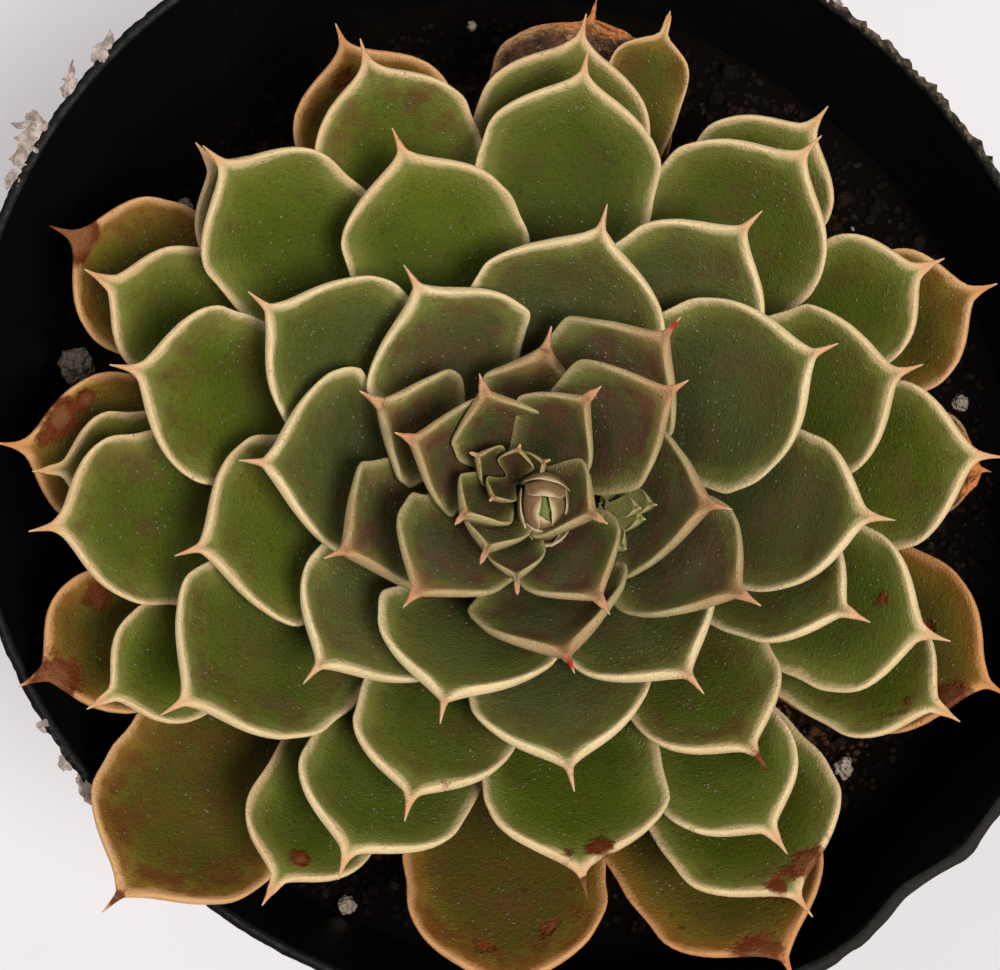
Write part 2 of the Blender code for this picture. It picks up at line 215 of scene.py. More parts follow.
def solid(name, form, material, even=True):
    """A piece from its form: points, faces and, for its finish to read, values of its points."""
    points, faces, *values = form
    mesh = bpy.data.meshes.new(name)
    mesh.from_pydata([tuple(point) for point in points], [], faces)
    for key, row in (values[0] if values else {}).items():
        made = mesh.attributes.new(key, "FLOAT", "POINT")
        made.data.foreach_set("value", np.asarray(row, np.float32))
    sound = bmesh.new()
    sound.from_mesh(mesh)
    bmesh.ops.recalc_face_normals(sound, faces=sound.faces)
    sound.to_mesh(mesh)
    sound.free()
    mesh.polygons.foreach_set("use_smooth", [even] * len(mesh.polygons))
    mesh.materials.append(material)
    piece = bpy.data.objects.new(name, mesh)
    bpy.context.scene.collection.objects.link(piece)
    return piece


def belongs(piece, slot, *nodes):
    """The piece moves with the plant and stands for CAD nodes; the slot is not used."""
    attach(piece, "root")
    for node in nodes:
        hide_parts(node)
    return piece


def lathe_faces(rows, around):
    """Faces of a closed ring of rows, each a loop of points."""
    faces = []
    for i in range(rows):
        below, above = i * around, (i + 1) % rows * around
        for j in range(around):
            k = (j + 1) % around
            faces.append((below + j, below + k, above + k, above + j))
    return faces


def black_plastic(look):
    height = look.node("SeparateXYZ", None, {0: look.place()}, 2)
    crust = look.attribute("crust")
    worn = look.attribute("worn")
    cloud = look.grain(0.006, 5)
    fine = look.grain(0.0006, 3)
    scratch = look.grain(0.0008, 2, stretch=(1, 1, 0.06))
    plastic = cloud.blend((0.0018, 0.0018, 0.0021), (0.0040, 0.0042, 0.0046))
    dusty = (cloud * scratch).step(0.30, 0.62) * 0.35
    plastic = dusty.blend(plastic, (0.014, 0.014, 0.013))
    scuffed = (worn * 1.2 + cloud + (scratch - 0.5) * 0.8 - 0.95).step(0.1, 0.75)
    plastic = scuffed.blend(plastic, (0.015, 0.015, 0.013))
    low = height.step(0.035, 0.0) * cloud.step(0.45, 0.7) * 0.5
    plastic = low.blend(plastic, (0.06, 0.05, 0.04))
    grit = (crust + (fine - 0.5) * 0.9).step(0.25, 0.8)
    pale = (fine * 0.5 + cloud * 0.5).step(0.4, 0.68)
    crumb = pale.blend((0.016, 0.012, 0.007), (0.15, 0.115, 0.078))
    colour = grit.blend(plastic, crumb)
    rough = 0.50 + grit * 0.45 + scuffed * 0.25 + dusty * 0.3
    return colour, rough, fine * (0.25 + grit), 0.0004


def pot_form():
    """Loops of points from the rim down the outside, under the base and up the inside."""
    turns = [2 * math.pi * j / POT_AROUND for j in range(POT_AROUND)]
    points, crusts, wears = [], [], []

    def loop(place_of):
        for turn in turns:
            spot, crust, wear = place_of(turn)
            points.append(spot)
            crusts.append(crust)
            wears.append(wear)

    def ragged(turn):
        """How far the rim is torn down and bulges out, and its crust and wear, in a direction."""
        spot = Vector((math.cos(turn), math.sin(turn), 0)) * RIM_ARC
        slow = noise.noise(spot * 0.10)
        quick = noise.fractal(spot * 0.9, 0.6, 2.2, 5)
        near_crumb = noise.voronoi(spot * 0.85)[0][0]
        small_crumb = noise.voronoi(spot * 1.9)[0][0]
        teeth = math.sqrt(max(0, 0.55 - near_crumb)) + 0.55 * math.sqrt(max(0, 0.5 - small_crumb))
        grit, lime = on_arcs(turn, CRUST_ARCS), on_arcs(turn, LIME_ARCS)
        scuff = on_arcs(turn, SCUFF_ARCS)
        down = (0.25 + 0.5 * scuff + 0.4 * lime) * max(0, quick) + 0.12 * slow
        bulge = 0.15 * slow + 0.1 * quick + grit * (teeth * 1.25 - 0.30)
        bulge += scuff * 0.5 * noise.noise(spot * 0.35) + lime * 0.35 * quick
        return down * MM, bulge * MM, min(1, grit + 0.25 * lime), min(1, scuff + 0.1 * lime + 0.1)

    def wall(height, inward, rim_share):
        """A row of the wall, set in from its outside, with a share of the rim's bulges."""
        near = max(0.0, 1 - (POT_HEIGHT - height) / TORN_TALL)
        bent = max(0.0, 1 - (POT_HEIGHT - height) / KINK_TALL) ** 2
        crusted = 1.0 if rim_share > 0.5 else 0.2

        def place_of(turn):
            down, bulge, crust, wear = ragged(turn)
            spot = Vector((math.cos(turn), math.sin(turn), height * 20)) * 2.2
            wave = noise.noise(spot) * 0.35 * MM * min(1, height / (30 * MM))
            reach = float(wall_reach(turn, height)) - inward + bulge * rim_share * near ** 1.5 + wave
            reach -= KINK_DEEP * near_turn(turn, *KINK_ARC) ** 1.5 * bent
            spot = (reach * math.cos(turn), reach * math.sin(turn), height - down * near)
            return spot, crust * near * crusted, wear * near
        return place_of

    def plain(reach, height, wear=0.0):
        """A true circle of the base or of the floor inside."""
        return lambda turn: ((reach * math.cos(turn), reach * math.sin(turn), height), 0, wear)

    # The outside, downwards, then the flat base, then the inside, upwards.
    for depth in WALL_DEPTHS:
        loop(wall(POT_HEIGHT - depth * MM, 0.2 * MM if depth == WALL_DEPTHS[0] else 0, 1.0))
    for share in (0, 0.3, 0.6, 0.85, 1):
        slope = math.radians(90 * share)
        reach = BASE_RADIUS - FOOT_ROUND * (1 - math.cos(slope))
        loop(plain(reach, FOOT_ROUND * (1 - math.sin(slope)), 0.3))
    for reach, height in (
        (38 * MM, 0), (PANEL_RADIUS + PANEL_SLOPE, 0), (PANEL_RADIUS, PANEL_RISE),
        (10 * MM, PANEL_RISE), (0.3 * MM, PANEL_RISE), (0.3 * MM, FLOOR), (20 * MM, FLOOR),
        (BASE_RADIUS - WALL - 2 * MM, FLOOR), (BASE_RADIUS - WALL, FLOOR + 2 * MM),
    ):
        loop(plain(reach, height))
    for depth in WALL_DEPTHS[-2::-1]:
        loop(wall(POT_HEIGHT - depth * MM, WALL, 0.35))
    faces = lathe_faces(len(points) // POT_AROUND, POT_AROUND)
    return points, faces, {"crust": crusts, "worn": wears}


pot_finish = finish("black_plastic", black_plastic, IOR=1.46, Specular_IOR_Level=0.16)
pot = solid("pot_shell", pot_form(), pot_finish)
drill = bmesh.new()
for i in range(DRAIN_HOLES):
    turn = 2 * math.pi * i / DRAIN_HOLES
    spot = Matrix.Translation(
        (DRAIN_CIRCLE * math.cos(turn), DRAIN_CIRCLE * math.sin(turn), FLOOR / 2)
    )
    bmesh.ops.create_cone(
        drill, cap_ends=True, segments=32, radius1=DRAIN_RADIUS, radius2=DRAIN_RADIUS,
        depth=4 * FLOOR, matrix=spot,
    )
drill_mesh = bpy.data.meshes.new("drain_drill")
drill.to_mesh(drill_mesh)
drill.free()
drill_tool = bpy.data.objects.new("drain_drill", drill_mesh)
bpy.context.scene.collection.objects.link(drill_tool)
holes = pot.modifiers.new("drain_holes", "BOOLEAN")
holes.operation = "DIFFERENCE"
holes.object = drill_tool
bpy.context.view_layer.update()
drilled = bpy.data.meshes.new_from_object(pot.evaluated_get(bpy.context.evaluated_depsgraph_get()))
pot.modifiers.clear()
pot.data = drilled
bpy.data.objects.remove(drill_tool)
belongs(pot, "black_plastic", "pot")

# Lime flakes: thin brittle plates of water scale that have grown out from the torn rim.
# They are chalk grey, lacy at the edges, and stuck to the plastic at their roots.
PLATES = (  # outlines, as directions in degrees and millimetres outside the rim
    ((150.8, 2.1), (150.4, 1.6), (149.3, 1.9), (148.6, 2.8), (148.0, 2.3), (147.2, 2.1), (146.4, 1.8),
     (145.7, 1.1), (145.7, 0.2), (146.7, -0.3), (148.2, -0.3), (149.9, -0.2), (151.0, 0.6)),
    ((147.6, 3.9), (147.4, 3.2), (146.8, 2.7), (146.1, 3.1), (145.4, 2.7), (145.4, 2.0), (145.8, 1.1),
     (146.7, 0.9), (147.3, 1.5), (147.2, 2.2), (147.8, 2.8), (147.9, 3.5)),
    ((142.7, 1.0), (142.1, 1.7), (141.4, 1.7), (141.3, 2.1), (140.6, 2.0), (139.3, 2.7), (139.9, 1.7),
     (140.6, 1.3), (140.6, 0.5), (141.7, -0.2), (142.9, 0.0)),
    ((138.3, 1.0), (137.3, 1.7), (136.6, 1.8), (135.8, 1.5), (134.7, 1.8), (134.9, 0.9), (136.0, 0.2),
     (136.9, -0.2), (138.0, 0.0)),
    ((153.4, 0.9), (152.4, 1.5), (151.6, 1.3), (150.9, 0.7), (151.2, -0.2), (152.9, -0.2)),
    ((209.0, 0.8), (210.0, 1.1), (210.6, 0.5), (210.3, -0.2), (209.2, -0.2)),
    ((213.2, 0.8), (214.0, 1.5), (214.8, 1.3), (215.2, 0.6), (214.4, -0.2), (213.4, -0.2)),
    ((215.6, 0.5), (216.4, 1.0), (217.6, 1.3), (218.6, 1.5), (219.3, 0.9), (218.7, 0.2), (217.2, -0.2),
     (215.8, -0.2)),
    ((59.0, 0.7), (60.0, 1.5), (61.3, 1.4), (62.2, 0.8), (61.6, -0.2), (59.6, -0.2)),
    ((55.0, 0.6), (56.0, 1.2), (57.2, 1.3), (57.8, 0.5), (57.0, -0.2), (55.4, -0.2)),
)
PLATE_ROOT = 0.5  # mm that a plate is set in, so that it grows out of the rim
PLATE_SINK = 0.45  # mm of its middle below the rim
PLATE_HALF = 0.22  # half its thickness in mm, and the same at its edge
PLATE_EDGE = 0.06
PLATE_RINGS = (1.0, 0.86, 0.6, 0.3)


def limescale(look):
    cloud = look.grain(0.0012, 5)
    fine = look.grain(0.0003, 3)
    colour = cloud.step(0.3, 0.7).blend((0.19, 0.145, 0.125), (0.50, 0.42, 0.385))
    colour = fine.step(0.55, 0.75).blend(colour, (0.10, 0.085, 0.07))
    return colour, None, cloud * 0.7 + fine * 0.3, 0.0003


def plate_form(outline, seed):
    """A brittle plate with a crumbled edge, in rings of points from its edge to its middle."""
    corners = [
        Vector((rim_reach(math.radians(turn)) / MM + out - PLATE_ROOT, math.radians(turn) * RIM_ARC))
        for turn, out in outline
    ]
    edge = []
    for first, second in zip(corners, corners[1:] + corners[:1]):
        for k in range(6):
            spot = first.lerp(second, k / 6)
            wander = Vector((spot.x, spot.y, seed * 5.0))
            crumbled = noise.noise(wander * 1.7), noise.noise(wander * 1.9 + Vector((9, 0, 0)))
            edge.append(spot + Vector(crumbled) * 0.32)
    middle = sum(edge, Vector((0, 0))) / len(edge)
    around = len(edge)

    def laid(place, lift):
        """Point at a place given by reach and way along the rim, and by its lift over it, in mm."""
        reach, turn = place.x * MM, place.y / RIM_ARC
        return reach * math.cos(turn), reach * math.sin(turn), POT_HEIGHT + lift * MM

    points, faces = [], []
    for side in (1, -1):
        for ring in PLATE_RINGS:
            for spot in edge:
                place = middle.lerp(spot, ring)
                wander = Vector((place.x, place.y, seed))
                rough = noise.fractal(wander * 1.5, 0.8, 2.1, 3)
                thick = (PLATE_EDGE if ring == 1.0 else PLATE_HALF) + 0.10 * rough
                lift = -PLATE_SINK + 0.25 * rough + 0.18 * noise.noise(wander * 0.8)
                points.append(laid(place, lift + side * max(0.03, thick)))
        points.append(laid(middle, -PLATE_SINK + side * PLATE_HALF))
    size = len(PLATE_RINGS) * around + 1
    inmost = size - 1 - around
    for j in range(around):
        k = (j + 1) % around
        for a in range(0, inmost, around):
            b = a + around
            faces.append((a + j, a + k, b + k, b + j))
            faces.append((size + a + k, size + a + j, size + b + j, size + b + k))
        faces.append((inmost + j, inmost + k, size - 1))
        faces.append((size + inmost + k, size + inmost + j, 2 * size - 1))
        faces.append((j, size + j, size + k, k))
    return points, faces


def joined(forms):
    """Several shapes made one mesh: their points, faces and point values end to end."""
    points, faces, values = [], [], {}
    for form in forms:
        shift = len(points)
        points += [tuple(point) for point in form[0]]
        faces += [tuple(shift + corner for corner in face) for face in form[1]]
        for key, row in (form[2] if len(form) > 2 else {}).items():
            values.setdefault(key, []).extend(row)
    return points, faces, values


flake_finish = finish("limescale", limescale, 0.9)
flakes = joined(plate_form(outline, seed) for seed, outline in enumerate(PLATES))
belongs(solid("lime_flakes", flakes, flake_finish, even=False), "black_plastic")

# Soil: dark peat and bark fines filled to well below the rim, sunken and uneven.
# Loose crumbs, orange bark, grit and white perlite lie on top of it.
SOIL_AROUND = 300
SOIL_OUT = 72
SOIL_GAP = 0.2 * MM  # between the top of the mix and the wall
LOW_GAP = 0.7 * MM  # and further down, where the wall hides it
SOIL_LIFT = 0.4 * MM
# Painted shade: how far the mix is darkened beside the wall and in one sector.
SHADE_DARKNESS = 0.85
stem_low, stem_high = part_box("stem")
soil_low, soil_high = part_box("soil")
soil_tree = BVHTree.FromPolygons(
    [vertex.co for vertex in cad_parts["soil"].data.vertices],
    [tuple(polygon.vertices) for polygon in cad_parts["soil"].data.polygons],
)
stem_points = np.array([vertex.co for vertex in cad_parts["stem"].data.vertices])
stem_top_points = stem_points[stem_points[:, 2] > stem_high.z - 0.05 * MM]
stem_foot_points = stem_points[stem_points[:, 2] < stem_low.z + 0.05 * MM]


def middle_of(points):
    low, high = points.min(0), points.max(0)
    return Vector((low + high) / 2)


STEM_TOP = middle_of(stem_top_points)
STEM_FOOT = middle_of(stem_foot_points)


def stem_axis(height):
    """Point of the plant's axis at a height."""
    share = (height - STEM_FOOT.z) / (STEM_TOP.z - STEM_FOOT.z)
    return STEM_FOOT.lerp(STEM_TOP, share)


def soil_height(x, y):
    """Height of the potting mix, from the CAD surface, with crumbs and hollows on it."""
    hit = soil_tree.ray_cast(Vector((x, y, soil_high.z + 0.01)), Vector((0, 0, -1)))
    level = hit[0].z if hit[0] else soil_high.z - 1.2 * MM
    spot = Vector((x, y, 0)) * 1000
    lumps = noise.fractal(spot * 0.22, 0.8, 2.1, 5) * 0.9
    crumbs = abs(noise.noise(spot * 0.9)) * 0.5
    return level + (lumps + crumbs - 0.35) * MM


def painted_shade(look):
    """Painted shade on the mix, nearly black: beside the wall, which shades it, and in one sector of
    the pot.
    """
    place = look.place()
    flat = look.node("VectorMath", {"operation": "MULTIPLY"}, {0: place, 1: (1, 1, 0)})
    rim_side = look.node("VectorMath", {"operation": "LENGTH"}, {0: flat}, 1).step(0.043, 0.0505)
    sector = look.node("VectorMath", {"operation": "DOT_PRODUCT"}, {0: place, 1: (1, 0.8, 0)}, 1)
    return look.sum_of("MAXIMUM", rim_side, sector.step(0.022, 0.050) * 0.9)


def earth(look):
    cloud = look.grain(0.005, 5, 0.6)
    crumb = look.grain(0.0009, 4, 0.7)
    fine = look.grain(0.0002, 2)
    colour = cloud.blend((0.0014, 0.0006, 0.0003), (0.013, 0.0044, 0.0013))
    colour = crumb.step(0.56, 0.74).blend(colour, (0.026, 0.0085, 0.0022))
    colour = fine.step(0.66, 0.78).blend(colour, (0.075, 0.028, 0.008))
    # Painted shade: near black beside the wall and in one sector of the pot.
    colour = (painted_shade(look) * SHADE_DARKNESS).blend(colour, (0.0010, 0.0007, 0.0006))
    return colour, None, crumb + fine * 0.3, 0.0008


def tube_faces(rows, around):
    """Faces of a stack of rows of points, closed at each end by one face."""
    last = (rows - 1) * around
    ends = [tuple(range(around)), tuple(last + j for j in reversed(range(around)))]
    return lathe_faces(rows, around)[:-around] + ends


def soil_form():
    """The bed of mix: its rough top from the middle out, its side, and its flat bottom."""
    turns = [2 * math.pi * j / SOIL_AROUND for j in range(SOIL_AROUND)]
    points = []
    for i in range(SOIL_OUT + 1):
        share = max((i / SOIL_OUT) ** 0.8, 0.004)
        for turn in turns:
            reach = (float(wall_reach(turn, soil_high.z)) - WALL - SOIL_GAP) * share
            x, y = reach * math.cos(turn), reach * math.sin(turn)
            points.append((x, y, soil_height(x * 0.985, y * 0.985)))
    edge = points[-SOIL_AROUND:]
    for height in (soil_high.z - 8 * MM, soil_low.z + SOIL_LIFT):
        for turn in turns:
            reach = float(wall_reach(turn, max(height, 4 * MM))) - WALL - LOW_GAP
            points.append((reach * math.cos(turn), reach * math.sin(turn), height))
    points += [(x * 0.01, y * 0.01, soil_low.z + SOIL_LIFT) for x, y, z in edge]
    return points, tube_faces(len(points) // SOIL_AROUND, SOIL_AROUND)


soil_finish = finish("potting_soil", earth, 0.95, Specular_IOR_Level=0.08)
soil = belongs(solid("soil_bed", soil_form(), soil_finish), "soil", "soil")


def gravel(look):
    """Crumbs of several colours: each one takes its own from the cell it lies in."""
    kind = look.node("SeparateColor", None, {0: look.cells(0.0017, 1)}, 0)
    fine = look.grain(0.0004, 3)
    colour = look.node("ValToRGB", {"stops": (
        (0.0, (0.0016, 0.0007, 0.0004)), (0.45, (0.006, 0.0022, 0.0008)),
        (0.64, (0.026, 0.0085, 0.0024)), (0.80, (0.062, 0.021, 0.0052)),
        (0.93, (0.090, 0.036, 0.010)), (1.0, (0.13, 0.080, 0.042)),
    )}, {0: kind})
    colour = fine.step(0.3, 0.8).blend(colour, (0.02, 0.012, 0.008))
    # Painted shade: the crumbs too go near black beside the wall and in one sector.
    colour = (painted_shade(look) * SHADE_DARKNESS).blend(colour, (0.0016, 0.0011, 0.0009))
    return colour, None, fine, 0.0003


def perlite_skin(look):
    fine = look.grain(0.0005, 4)
    pits = look.cells(0.0005)
    colour = fine.blend((0.16, 0.12, 0.09), (0.46, 0.38, 0.31))
    return colour, None, pits + fine * 0.5, 0.0004


def scattered(name, over, material, dense, small, large, seed, lump=1):
    """Grains strewn over the top of the soil: points on its faces, a rough crumb on each."""
    sizes = {"Density": dense, "Smallest": small, "Largest": large}
    tree = bpy.data.node_groups.new(name, "GeometryNodeTree")
    face = tree.interface
    face.new_socket("Geometry", in_out="INPUT", socket_type="NodeSocketGeometry")
    for label, value in sizes.items():
        socket = face.new_socket(label, in_out="INPUT", socket_type="NodeSocketFloat")
        socket.default_value = value
    face.new_socket("Geometry", in_out="OUTPUT", socket_type="NodeSocketGeometry")

    def node(kind, inputs=None, **settings):
        made = tree.nodes.new(kind)
        for key, value in settings.items():
            setattr(made, key, value)
        for key, value in (inputs or {}).items():
            if isinstance(value, bpy.types.NodeSocket):
                tree.links.new(value, made.inputs[key])
            else:
                made.inputs[key].default_value = value
        return made.outputs

    def maths(operation, first, second):
        return node("ShaderNodeMath", {0: first, 1: second}, operation=operation)[0]

    # Only the faces that look up, between the stem and the wall, carry grains.
    given = node("NodeGroupInput")
    place, faced = node("GeometryNodeInputPosition")[0], node("GeometryNodeInputNormal")[0]
    flat = node("ShaderNodeVectorMath", {0: place, 1: (1, 1, 0)}, operation="MULTIPLY")[0]
    reach = node("ShaderNodeVectorMath", {0: flat}, operation="LENGTH")[1]
    up = node("ShaderNodeSeparateXYZ", {0: faced})[2]
    ring = maths(
        "MULTIPLY", maths("GREATER_THAN", reach, BARE_REACH),
        maths("LESS_THAN", reach, SOIL_REACH - 0.8 * large),
    )
    open_top = maths("MULTIPLY", ring, maths("GREATER_THAN", up, 0.3))
    spread = node("GeometryNodeDistributePointsOnFaces", {
        "Mesh": given[0], "Selection": open_top, "Density": given[1], "Seed": seed,
    })[0]

    # One crumb, pushed out of shape, is turned and sized at random on each point.
    ball = node("GeometryNodeMeshIcoSphere", {"Radius": 0.5, "Subdivisions": lump})[0]
    bumps = node("ShaderNodeTexNoise", {"Scale": 1.3, "Detail": 2.0})[1]
    pushed = node("ShaderNodeVectorMath", {0: bumps, 1: (0.5, 0.5, 0.62)}, operation="SUBTRACT")[0]
    crumb = node("GeometryNodeSetPosition", {0: ball, 3: pushed})[0]
    turned = node("FunctionNodeRandomValue", {
        "Min": (0, 0, 0), "Max": (6.28, 6.28, 6.28), "Seed": seed + 1,
    }, data_type="FLOAT_VECTOR")[0]
    size = node(
        "FunctionNodeRandomValue", {2: given[2], 3: given[3], "Seed": seed + 2}, data_type="FLOAT",
    )[1]
    laid = node("GeometryNodeInstanceOnPoints", {
        "Points": spread, "Instance": crumb, "Rotation": turned, "Scale": size,
    })[0]
    real = node("GeometryNodeRealizeInstances", {0: laid})[0]
    even = node("GeometryNodeSetShadeSmooth", {0: real})[0]
    coated = node("GeometryNodeSetMaterial", {0: even, "Material": material})[0]
    node("NodeGroupOutput", {0: coated})

    bed = bpy.data.objects.new(name, over.data.copy())
    bpy.context.scene.collection.objects.link(bed)
    growth = bed.modifiers.new(name, "NODES")
    growth.node_group = tree
    for socket in face.items_tree:
        if socket.in_out == "INPUT" and socket.name in sizes:
            growth[socket.identifier] = sizes[socket.name]
    bpy.context.view_layer.update()
    made = bpy.data.meshes.new_from_object(bed.evaluated_get(bpy.context.evaluated_depsgraph_get()))
    bpy.data.objects.remove(bed)
    piece = bpy.data.objects.new(name, made)
    bpy.context.scene.collection.objects.link(piece)
    return belongs(piece, "soil")


BARE_REACH = 0.018  # the middle of the bed, under the plant, where no grains are laid
SOIL_REACH = min(
    float(wall_reach(math.radians(turn), soil_high.z)) for turn in range(360)
) - WALL
grain_finish = finish("soil_grains", gravel, 0.9, Specular_IOR_Level=0.12)
perlite_finish = finish("perlite", perlite_skin, 0.85)
scattered("soil_crumbs", soil, grain_finish, 620000, 0.0005, 0.0013, 11)
scattered("bark_lumps", soil, grain_finish, 60000, 0.0009, 0.0020, 23, 2)
scattered("perlite_grit", soil, perlite_finish, 2600, 0.0005, 0.0014, 37, 2)

PERLITE = (  # x, y and radius of the larger lumps, in mm
    (-51.0, 12.2, 1.9), (-1.8, 47.0, 1.3), (23.5, 33.5, 1.0), (46.0, -11.0, 1.2), (35.0, -33.0, 1.1),
    (-47.5, 3.0, 0.8), (-20.0, -48.0, 1.0), (12.0, 49.5, 0.8), (48.8, 8.0, 0.9), (-39.0, 30.5, 0.9),
)
lumps = []
for i, (x, y, size) in enumerate(PERLITE):
    ball = bmesh.new()
    bmesh.ops.create_icosphere(ball, subdivisions=4, radius=size * MM)
    foot = Vector((x * MM, y * MM, 0))
    foot.z = soil_height(foot.x, foot.y) + size * 0.45 * MM
    for vertex in ball.verts:
        spot = vertex.co / (size * MM) * 0.9 + Vector((i * 5, 0, 0))
        vertex.co = foot + vertex.co * (1 + 0.45 * noise.fractal(spot, 0.8, 2.2, 4))
    lumps.append((
        [vertex.co.copy() for vertex in ball.verts],
        [tuple(vertex.index for vertex in face.verts) for face in ball.faces],
    ))
    ball.free()
belongs(solid("perlite_lumps", joined(lumps), perlite_finish), "soil")

# Stem: one short woody stalk, ringed with the scars of leaves that have dropped.
# It stands in the soil and is hidden from above by the leaves that it carries.
STEM_AROUND = 48
STEM_ROWS = 60
SCAR_DEEP = 0.35 * MM
STEM_FOOT_REACH = float(np.ptp(stem_foot_points[:, 0])) / 2
STEM_TOP_REACH = float(np.ptp(stem_top_points[:, 0])) / 2


def bark(look):
    cloud = look.grain(0.002, 4)
    fine = look.grain(0.0005, 3, stretch=(1, 1, 0.3))
    colour = cloud.blend((0.075, 0.050, 0.028), (0.21, 0.155, 0.095))
    colour = fine.step(0.5, 0.75).blend(colour, (0.05, 0.032, 0.018))
    return colour, None, fine, 0.0004


def stem_form():
    points = []
    for i in range(STEM_ROWS + 1):
        share = i / STEM_ROWS
        height = stem_low.z + (stem_high.z - stem_low.z) * share
        axis = stem_axis(height)
        for j in range(STEM_AROUND):
            turn = 2 * math.pi * j / STEM_AROUND
            scar = max(0, math.sin(3 * turn + share * 60)) ** 3 * SCAR_DEEP
            reach = STEM_FOOT_REACH + (STEM_TOP_REACH - STEM_FOOT_REACH) * share
            reach += scar - 0.3 * MM + 0.2 * MM * noise.noise(Vector((turn * 2, share * 30, 0)))
            points.append((axis.x + reach * math.cos(turn), axis.y + reach * math.sin(turn), height))
    return points, tube_faces(STEM_ROWS + 1, STEM_AROUND)


stem_finish = finish("stem_bark", bark, 0.85)
belongs(solid("stem_stalk", stem_form(), stem_finish), "stem_skin", "stem")

# Grown leaves: thick spoon-shaped blades of wet tissue under a waxy skin, each on the stem by
# its own narrow foot. The margin is a pale rounded bead that runs out into a slender point.
FULL_WIDTH = 18.6  # mm, the width of the blade that the outline is given for
SMALL_WIDTH = 15  # mm, below which a blade's margin, edge and point get smaller with it
OUTLINE_TIP = (  # mm from the tip; share of the half width, if blunt, if keen
    (3.0, 0.12, 0.12), (3.8, 0.27, 0.20), (4.7, 0.49, 0.31), (5.8, 0.71, 0.45),
    (7.4, 0.885, 0.63), (9.6, 0.975, 0.82), (12.5, 1.0, 0.95), (16.0, 1.0, 1.0),
)
OUTLINE_ROOT = ((0.45, 0.83), (0.28, 0.56), (0.12, 0.36))  # share of length, half width share
POINT_SHAPE = ((0.0, 0.06), (0.8, 0.17), (1.6, 0.29), (2.4, 0.50))  # mm from the tip, half mm
POINT_LENGTH = 2.6
POINT_BEND = math.radians(24)
THICKNESS = ((0, 0.62), (0.25, 0.92), (0.5, 1.0), (0.72, 0.90), (0.86, 0.70), (0.94, 0.52))
EDGE_THICK = 0.9
CUP = 0.11  # rise of the sides, as a share of the width
HOOK = math.radians(10)  # how much more the last third of a blade turns up
LIP = 0.80  # height and width in mm of the raised margin
LIP_WIDTH = 3.4
BEAD = 0.48  # mm of the rounded bead along it
BEAD_ARC = (0.5, 0.866)
RIPPLE = 0.35
KEEL = 0.35
SPINE_STEPS = 240
STATIONS = 62
BORDER_POINTS = 260
SIDE_SHARES = (0.0, 0.18, 0.36, 0.52, 0.66, 0.79, 0.90, 1.0)


def eased(rows, at):
    """Smooth monotone curve through rows of (place, value)."""
    rows = sorted(rows)
    x = np.array([row[0] for row in rows], float)
    y = np.array([row[1] for row in rows], float)
    gap, rise = np.diff(x), np.diff(y)
    slope = rise / gap
    grade = np.zeros_like(x)
    for i in range(1, len(x) - 1):
        if slope[i - 1] * slope[i] > 0:
            one, two = 2 * gap[i] + gap[i - 1], gap[i] + 2 * gap[i - 1]
            grade[i] = (one + two) / (one / slope[i - 1] + two / slope[i])
    grade[0], grade[-1] = slope[0], slope[-1]
    at = np.clip(at, x[0], x[-1])
    k = np.clip(np.searchsorted(x, at) - 1, 0, len(x) - 2)
    t = (at - x[k]) / gap[k]
    return (
        y[k] * (1 + 2 * t) * (1 - t) ** 2 + grade[k] * gap[k] * t * (1 - t) ** 2
        + y[k + 1] * t * t * (3 - 2 * t) + grade[k + 1] * gap[k] * t * t * (t - 1)
    )


def spine_of(run, rise, curl, point):
    """A blade's length, even steps along it, and its places out and up and slope at them.

    The blade curls upwards along its length and its point turns down again.
    """
    steps = np.linspace(0, 1, SPINE_STEPS + 1)
    middle = (steps[1:] + steps[:-1]) / 2

    def bent(tilt, length):
        blade = length - point
        share = np.clip(middle * length / blade, 0, 1)
        late = np.clip((share - 0.62) / 0.33, 0, 1)
        past = np.clip((middle * length - blade * 0.97) / (point * 0.8), 0, 1)
        lean = tilt + curl * (2 * share - 1) + HOOK * smooth(late)
        lean -= (POINT_BEND + HOOK) * smooth(past)
        out = np.concatenate(([0], np.cumsum(np.cos(lean)))) * length / len(middle)
        up = np.concatenate(([0], np.cumsum(np.sin(lean)))) * length / len(middle)
        return out, up, np.interp(steps, middle, lean)

    tilt, length = math.atan2(rise, run), math.hypot(run, rise) * 1.01
    for _ in range(6):
        out, up, lean = bent(tilt, length)
        length *= math.hypot(run, rise) / math.hypot(out[-1], up[-1])
        tilt += math.atan2(rise, run) - math.atan2(up[-1], out[-1])
    return length, steps, *bent(tilt, length)


def half_widths(from_tip, length, width, root, point, keen, small):
    """Half width of a blade at distances from its tip, from its point to its foot."""
    half, scale = width / 2, width / FULL_WIDTH
    rows = [(away * min(1, scale) * small, reach * small) for away, reach in POINT_SHAPE]
    for away, blunt_share, keen_share in OUTLINE_TIP:
        share = blunt_share + (keen_share - blunt_share) * keen
        place = point + (away - POINT_LENGTH) * scale
        if rows[-1][0] + 0.15 * small < place < length * 0.5:
            rows.append((place, max(share * half, rows[-1][1] + 0.02)))
    for share, value in OUTLINE_ROOT:
        place = length * (1 - share)
        if place > rows[-1][0] + 1.0 * small:
            rows.append((place, value * half))
    rows.append((length, min(root, half * 0.8)))
    return eased(rows, from_tip)


def across_blade(sides, bead):
    """Places across a blade, from one bead to the other: each with 1, or less on a bead's arc."""
    places = []
    for sign, reach, shares in ((1, sides[0], SIDE_SHARES[::-1]), (-1, sides[1], SIDE_SHARES[1:])):
        inner = reach - bead
        strip = [(sign * inner * share, 1.0) for share in shares]
        rim = [
            (sign * (inner + bead * arc), math.sqrt(1 - arc * arc)) for arc in (1.0, *BEAD_ARC[::-1])
        ]
        places += rim + strip if sign > 0 else strip + rim[::-1]
    return places


